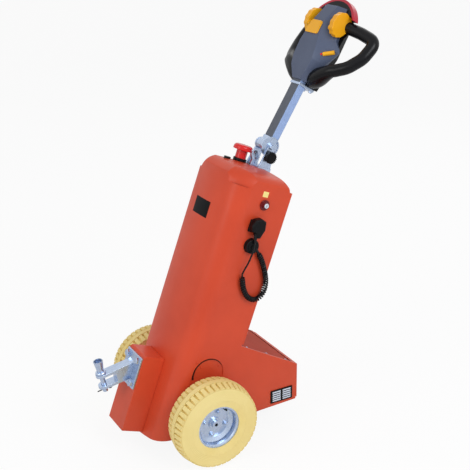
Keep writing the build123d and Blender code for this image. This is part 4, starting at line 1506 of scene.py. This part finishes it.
@dataclass
class TowHitch:
    """Bolts of the hitch plate, and collar and lip of the pin."""

    plate_x: float = 199.0
    bolt_y: float = 32.0
    bolt_z: tuple[float, float] = (27.0, 96.0)

    def build(self, fasteners: Fasteners) -> None:
        """Makes the pieces.

        Args:
            fasteners: Maker of the bolt rows.
        """
        spots = [(self.plate_x, y, z) for y in (-self.bolt_y, self.bolt_y) for z in self.bolt_z]
        fasteners.row("hitch_bolts", Place.COLUMN, spots, (1, 0, 0), Head.HEX_M12, Body.CHASSIS)
        up = Vector((0, 0, 1))
        Form(Place.JAW).lathe(
            [(10.0, 23.0), (14.6, 23.2), (15.6, 25.0), (15.6, 28.0), (14.2, 30.0), (10.2, 30.6)],
            Vector((0, 0, 0)), up, 36).finish("pin_collar", Body.CHASSIS, "zinc")
        Form(Place.JAW).lathe(
            [(12.6, 62.0), (13.7, 64.0), (13.5, 65.0), (11.2, 65.0), (9.6, 52.0), (0, 50.0)],
            Vector((0, 0, 0)), up, 36).finish("pin_lip", Body.CHASSIS, "zinc")


@dataclass
class ColumnTop:
    """Rim of the stop knob, flutes and cap of the index knob, and bolts of the pivot."""

    stop: tuple[float, float, float] = (33.0, -27.0, 757.4)
    bolt_faces: tuple[float, float] = (31.6, -32.6)
    knob: tuple[float, float] = (PIVOT[0] - 1.0, PIVOT[1] - 29.0)
    flutes: int = 20
    flute_circle: float = 16.2
    flute_face: float = 39.2
    cap_face: float = 49.2

    def build(self, fasteners: Fasteners) -> None:
        """Makes the pieces.

        Args:
            fasteners: Maker of the bolt rows.
        """
        x, y, z = self.stop
        Form(Place.COLUMN).lathe(
            [(16.0, 0.0), (28.9, 0.0), (29.3, 1.2), (29.3, 4.0), (28.4, 5.2)],
            Vector((x, y, z)), Vector((0, 0, 1)), 48).finish(
            "stop_rim", Body.CHASSIS, "stop_red")
        fasteners.row("pivot_bolt", Place.COLUMN,
                      [(PIVOT[0], y, PIVOT[1]) for y in self.bolt_faces],
                      [(0, 1, 0), (0, -1, 0)], Head.HEX_M8, Body.CHASSIS)
        (x, z), r = self.knob, self.flute_circle
        turns = [2 * math.pi * i / self.flutes for i in range(self.flutes)]
        spots = [(x + r * math.cos(a), self.flute_face, z + r * math.sin(a)) for a in turns]
        fasteners.row("knob_flutes", Place.COLUMN, spots, (0, 1, 0), Head.RIB, Body.CHASSIS,
                      "black_plastic")
        Form(Place.COLUMN).lathe([(0, 0.4), (9.5, 0.4), (10.5, 0.0), (11.5, 0.6), (11.5, -0.6)],
                                 Vector((x, self.cap_face, z)), Vector((0, 1, 0)),
                                 36).finish("knob_cap", Body.CHASSIS, "black_plastic")


@dataclass
class ControlHead:
    """Thumb levers, loops with their roots, dot on the button, bolts and screws."""

    button: tuple[float, float, float] = (56.5, 9.5, 299.0)
    button_way: tuple[float, float, float] = (0.63, 0.775, 0.0)
    clamp_bolt: tuple[float, float, float] = (-44.0, 17.0, 197.2)
    base_screw: tuple[float, float, float] = (-59.6, 24.0, 262.0)
    lever: tuple[float, float, float] = (8.0, 395.0, 37.5)
    hollow: tuple[float, float, float] = (-12.0, 402.0, 26.0)
    lever_y: tuple[float, float] = (54.2, 73.0)
    stub: tuple[float, float, float] = (18.0, 378.0, 8.5)
    stub_back: float = 6.0
    stub_length: float = 10.0
    scallops: int = 9
    scallop_depth: float = 1.3
    outer_steps: int = 72
    inner_steps: int = 30
    squeeze: float = 0.78
    plane: tuple[float, float, float] = (-26.0, 0.2, 0.4)   # level, and falls along and across
    plane_at: tuple[float, float] = (100.0, 330.0)          # where the level holds
    loop: tuple[tuple[float, float], ...] = (
        (100.0, 260.0), (140.0, 290.0), (162.0, 330.0), (166.0, 388.0), (112.0, 398.0),
        (50.0, 402.0))
    bends: tuple[float, ...] = (70.0, 60.0, 30.0, 100.0)
    loop_radius: float = 18.0
    start_share: float = 0.35
    first_share: float = 0.9
    bend_share: float = 0.48
    root: tuple[tuple[float, float, float, float], ...] = (
        (-26.0, 26.0, 226.0, 24.0), (-24.5, 38.0, 231.0, 26.5), (-22.0, 50.0, 236.5, 27.5),
        (-19.5, 62.0, 242.5, 27.0), (-17.0, 74.0, 248.5, 25.0), (-15.0, 86.0, 254.5, 22.5),
        (-14.0, 96.0, 259.5, 20.3), (-14.2, 106.0, 265.5, 18.8))

    def on_loop(self, out: float, s: float, side: float) -> Vector:
        """Point of the loops' sloping plane.

        Args:
            out: Distance from the middle.
            s: Distance along the tiller.
            side: 1 for the near side, -1 for the far side.

        Returns:
            The point.
        """
        level, along, across = self.plane
        out_at, s_at = self.plane_at
        return Vector((level - along * (s - s_at) - across * (out - out_at), side * out, s))

    def loop_line(self, side: float) -> list[Vector]:
        """Middle line of a loop beyond its root, with its bends.

        Args:
            side: 1 for the near side, -1 for the far side.

        Returns:
            The points.
        """
        corners = [self.on_loop(out, s, side) for out, s in self.loop]
        start = corners[0].lerp(corners[1], self.start_share)
        line = [start]
        for before, corner, after, bend in zip([start, *corners[1:]], corners[1:], corners[2:],
                                               self.bends):
            back, ahead = (before - corner).normalized(), (after - corner).normalized()
            half = back.angle(ahead) / 2
            share = self.first_share if before is start else self.bend_share
            reach = min(bend / math.tan(half), share * (before - corner).length,
                        self.bend_share * (after - corner).length)
            first, last = corner + back * reach, corner + ahead * reach
            for i in range(11):
                t = i / 10
                line.append(first.lerp(corner, t).lerp(corner.lerp(last, t), t))
        line.append(corners[-1])
        return line

    def crescent(self) -> list[tuple[float, float]]:
        """Outline of a thumb lever: a scalloped crescent round the loop's upper end.

        Returns:
            Corners in h and s.
        """
        h, s, radius = self.lever
        ch, cs, cut = self.hollow
        gap = math.hypot(ch - h, cs - s)
        way = math.atan2(cs - s, ch - h)
        half = math.acos((radius ** 2 + gap ** 2 - cut ** 2) / (2 * radius * gap))
        inner_half = math.acos((cut ** 2 + gap ** 2 - radius ** 2) / (2 * cut * gap))
        deep = self.scallop_depth
        outline = []
        for i in range(self.outer_steps + 1):
            share = i / self.outer_steps
            a = way + half + (2 * math.pi - 2 * half) * share
            wave = deep * math.cos(2 * math.pi * self.scallops * share) * math.sin(math.pi * share)
            r = radius - deep + wave
            outline.append((h + r * math.cos(a), s + r * math.sin(a)))
        for i in range(1, self.inner_steps):
            a = way - math.pi + inner_half + (2 * math.pi - 2 * inner_half) * i / self.inner_steps
            outline.append((ch + cut * math.cos(a), cs + cut * math.sin(a)))
        return [(ch + self.squeeze * (a - ch), b) for a, b in outline]

    def thumb_lever(self, side: float, name: str) -> bpy.types.Object:
        """One thumb lever on its stub.

        Args:
            side: 1 for the near side, -1 for the far side.
            name: Side in the node's name.

        Returns:
            The lever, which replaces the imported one.
        """
        low, high = self.lever_y
        ends = sorted((side * low, side * high))
        form = Form(Place.TILLER).prism(self.crescent(), (ends[0], ends[1]))
        h, s, radius = self.stub
        form.lathe([(0, 0), (radius, 0), (radius, self.stub_length), (0, self.stub_length)],
                   Vector((h, side * (low - self.stub_back), s)), Vector((0, side, 0)), 28)
        obj = form.finish("thumb_lever_" + name, Body.TILLER, "amber", 2.6)
        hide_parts("throttle_" + name)
        return obj

    def handle(self, side: float, name: str) -> bpy.types.Object:
        """Handle loop with a moulded root that widens to the base.

        Args:
            side: 1 for the near side, -1 for the far side.
            name: Side in the node's name.

        Returns:
            The loop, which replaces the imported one.
        """
        line = [Vector((h, side * y, s)) for h, y, s, _ in self.root]
        radii = [row[3] for row in self.root]
        beyond = self.loop_line(side)
        line += beyond
        radii += [self.loop_radius] * len(beyond)
        obj = Form(Place.TILLER).tube(line, radii, 32).finish("loop_" + name, Body.TILLER,
                                                              "grip_black")
        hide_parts("handle_" + name)
        return obj

    def build(self, fasteners: Fasteners) -> None:
        """Makes the pieces.

        Args:
            fasteners: Maker of the screw rows.
        """
        for side, name in ((NEAR, "left"), (FAR_SIDE, "right")):
            self.thumb_lever(side, name)
            self.handle(side, name)
        y, h, s = self.button
        Form(Place.TILLER).lathe([(0, 2.6), (2.4, 2.2), (3.6, 0.8), (3.8, -1.5)],
                                 Vector((h, y, s)), Vector(self.button_way), 24).finish(
            "button_dot", Body.TILLER, "stop_red")
        h, y, s = self.clamp_bolt
        fasteners.row("clamp_bolts", Place.TILLER, [(h, -y, s), (h, y, s)], (0, 0, -1),
                      Head.HEX_M6, Body.TILLER)
        h, y, s = self.base_screw
        fasteners.row("base_screws", Place.TILLER, [(h, -y, s), (h, y, s)], (-1, 0, 0),
                      Head.PAN, Body.TILLER, "dark_steel")


@dataclass
class Wheels:
    """Painted shade in the hubs' bores, and valves of the rims."""

    hub_face: float = 216.3
    valve: tuple[float, float] = (52.0, 211.0)
    valve_turn: float = math.radians(126.0)

    def build(self) -> None:
        """Makes the pieces of both wheels."""
        for side, name, body in ((NEAR, "left", Body.WHEEL_LEFT),
                                 (FAR_SIDE, "right", Body.WHEEL_RIGHT)):
            out = Vector((0, side, 0))
            # black disc in the hub's bore: painted shade of the hole
            Form(Place.BASE).lathe(
                [(0, 0), (5.6, 0), (6.2, -0.6), (6.2, -3.0)],
                Vector((0, side * self.hub_face, 0)), out, 28).finish(
                "hub_bore_" + name, body, "black_plastic")
            (r, y), a = self.valve, self.valve_turn
            Form(Place.BASE).lathe(
                [(0, 16.0), (2.6, 15.6), (3.0, 14.6), (3.0, 8.0), (3.9, 7.4), (3.9, 1.0),
                 (4.6, 0.0), (4.6, -3.0)],
                Vector((r * math.cos(a), side * y, r * math.sin(a))), out, 18).finish(
                "valve_" + name, body, "black_plastic")


@dataclass
class Castor:
    """Bolts of the castor's plate and nuts of its axle."""

    swivel: tuple[float, float] = (-212.0, -31.0)
    axle: tuple[float, float] = (-240.0, -90.0)
    bolt_half: float = 33.0
    bolt_sink: float = 0.4
    nut_face: float = 24.6

    def build(self, fasteners: Fasteners) -> None:
        """Makes the pieces.

        Args:
            fasteners: Maker of the bolt rows.
        """
        (x, z), half = self.swivel, self.bolt_half
        spots = [(x + dx, dy, z - self.bolt_sink) for dx in (-half, half) for dy in (-half, half)]
        fasteners.row("castor_bolts", Place.BASE, spots, (0, 0, -1), Head.HEX_M6, Body.CHASSIS)
        x, z = self.axle
        fasteners.row("castor_nuts", Place.BASE, [(x, -self.nut_face, z), (x, self.nut_face, z)],
                      [(0, -1, 0), (0, 1, 0)], Head.HEX_M6, Body.SWIVEL)


def boxes(pair: tuple) -> list[list[float]]:
    """Box corners as plain lists."""
    return [[float(c) for c in corner] for corner in pair]


def main(cad_box: list[list[float]]) -> None:
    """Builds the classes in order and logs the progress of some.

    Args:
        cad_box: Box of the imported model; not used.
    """
    logging.basicConfig(level=logging.INFO, format="%(name)s: %(message)s")
    Viewpoint().build()
    carried = CarriedNodes().build()
    LOG.info("%d packed nodes dressed", carried)
    softened = Softener().build()
    LOG.info("%d nodes with rounded edges", len(softened))
    ChargingCord().build(softened["mains_plug"])
    fasteners = Fasteners()
    Column().build(fasteners)
    LOG.info("column done")
    SideControls().build()
    TowHitch().build(fasteners)
    ColumnTop().build(fasteners)
    ControlHead().build(fasteners)
    Wheels().build()
    Castor().build(fasteners)
    LOG.info("fittings done")
    Studio().build()


if __name__ == "__main__":
    main(boxes(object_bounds()))
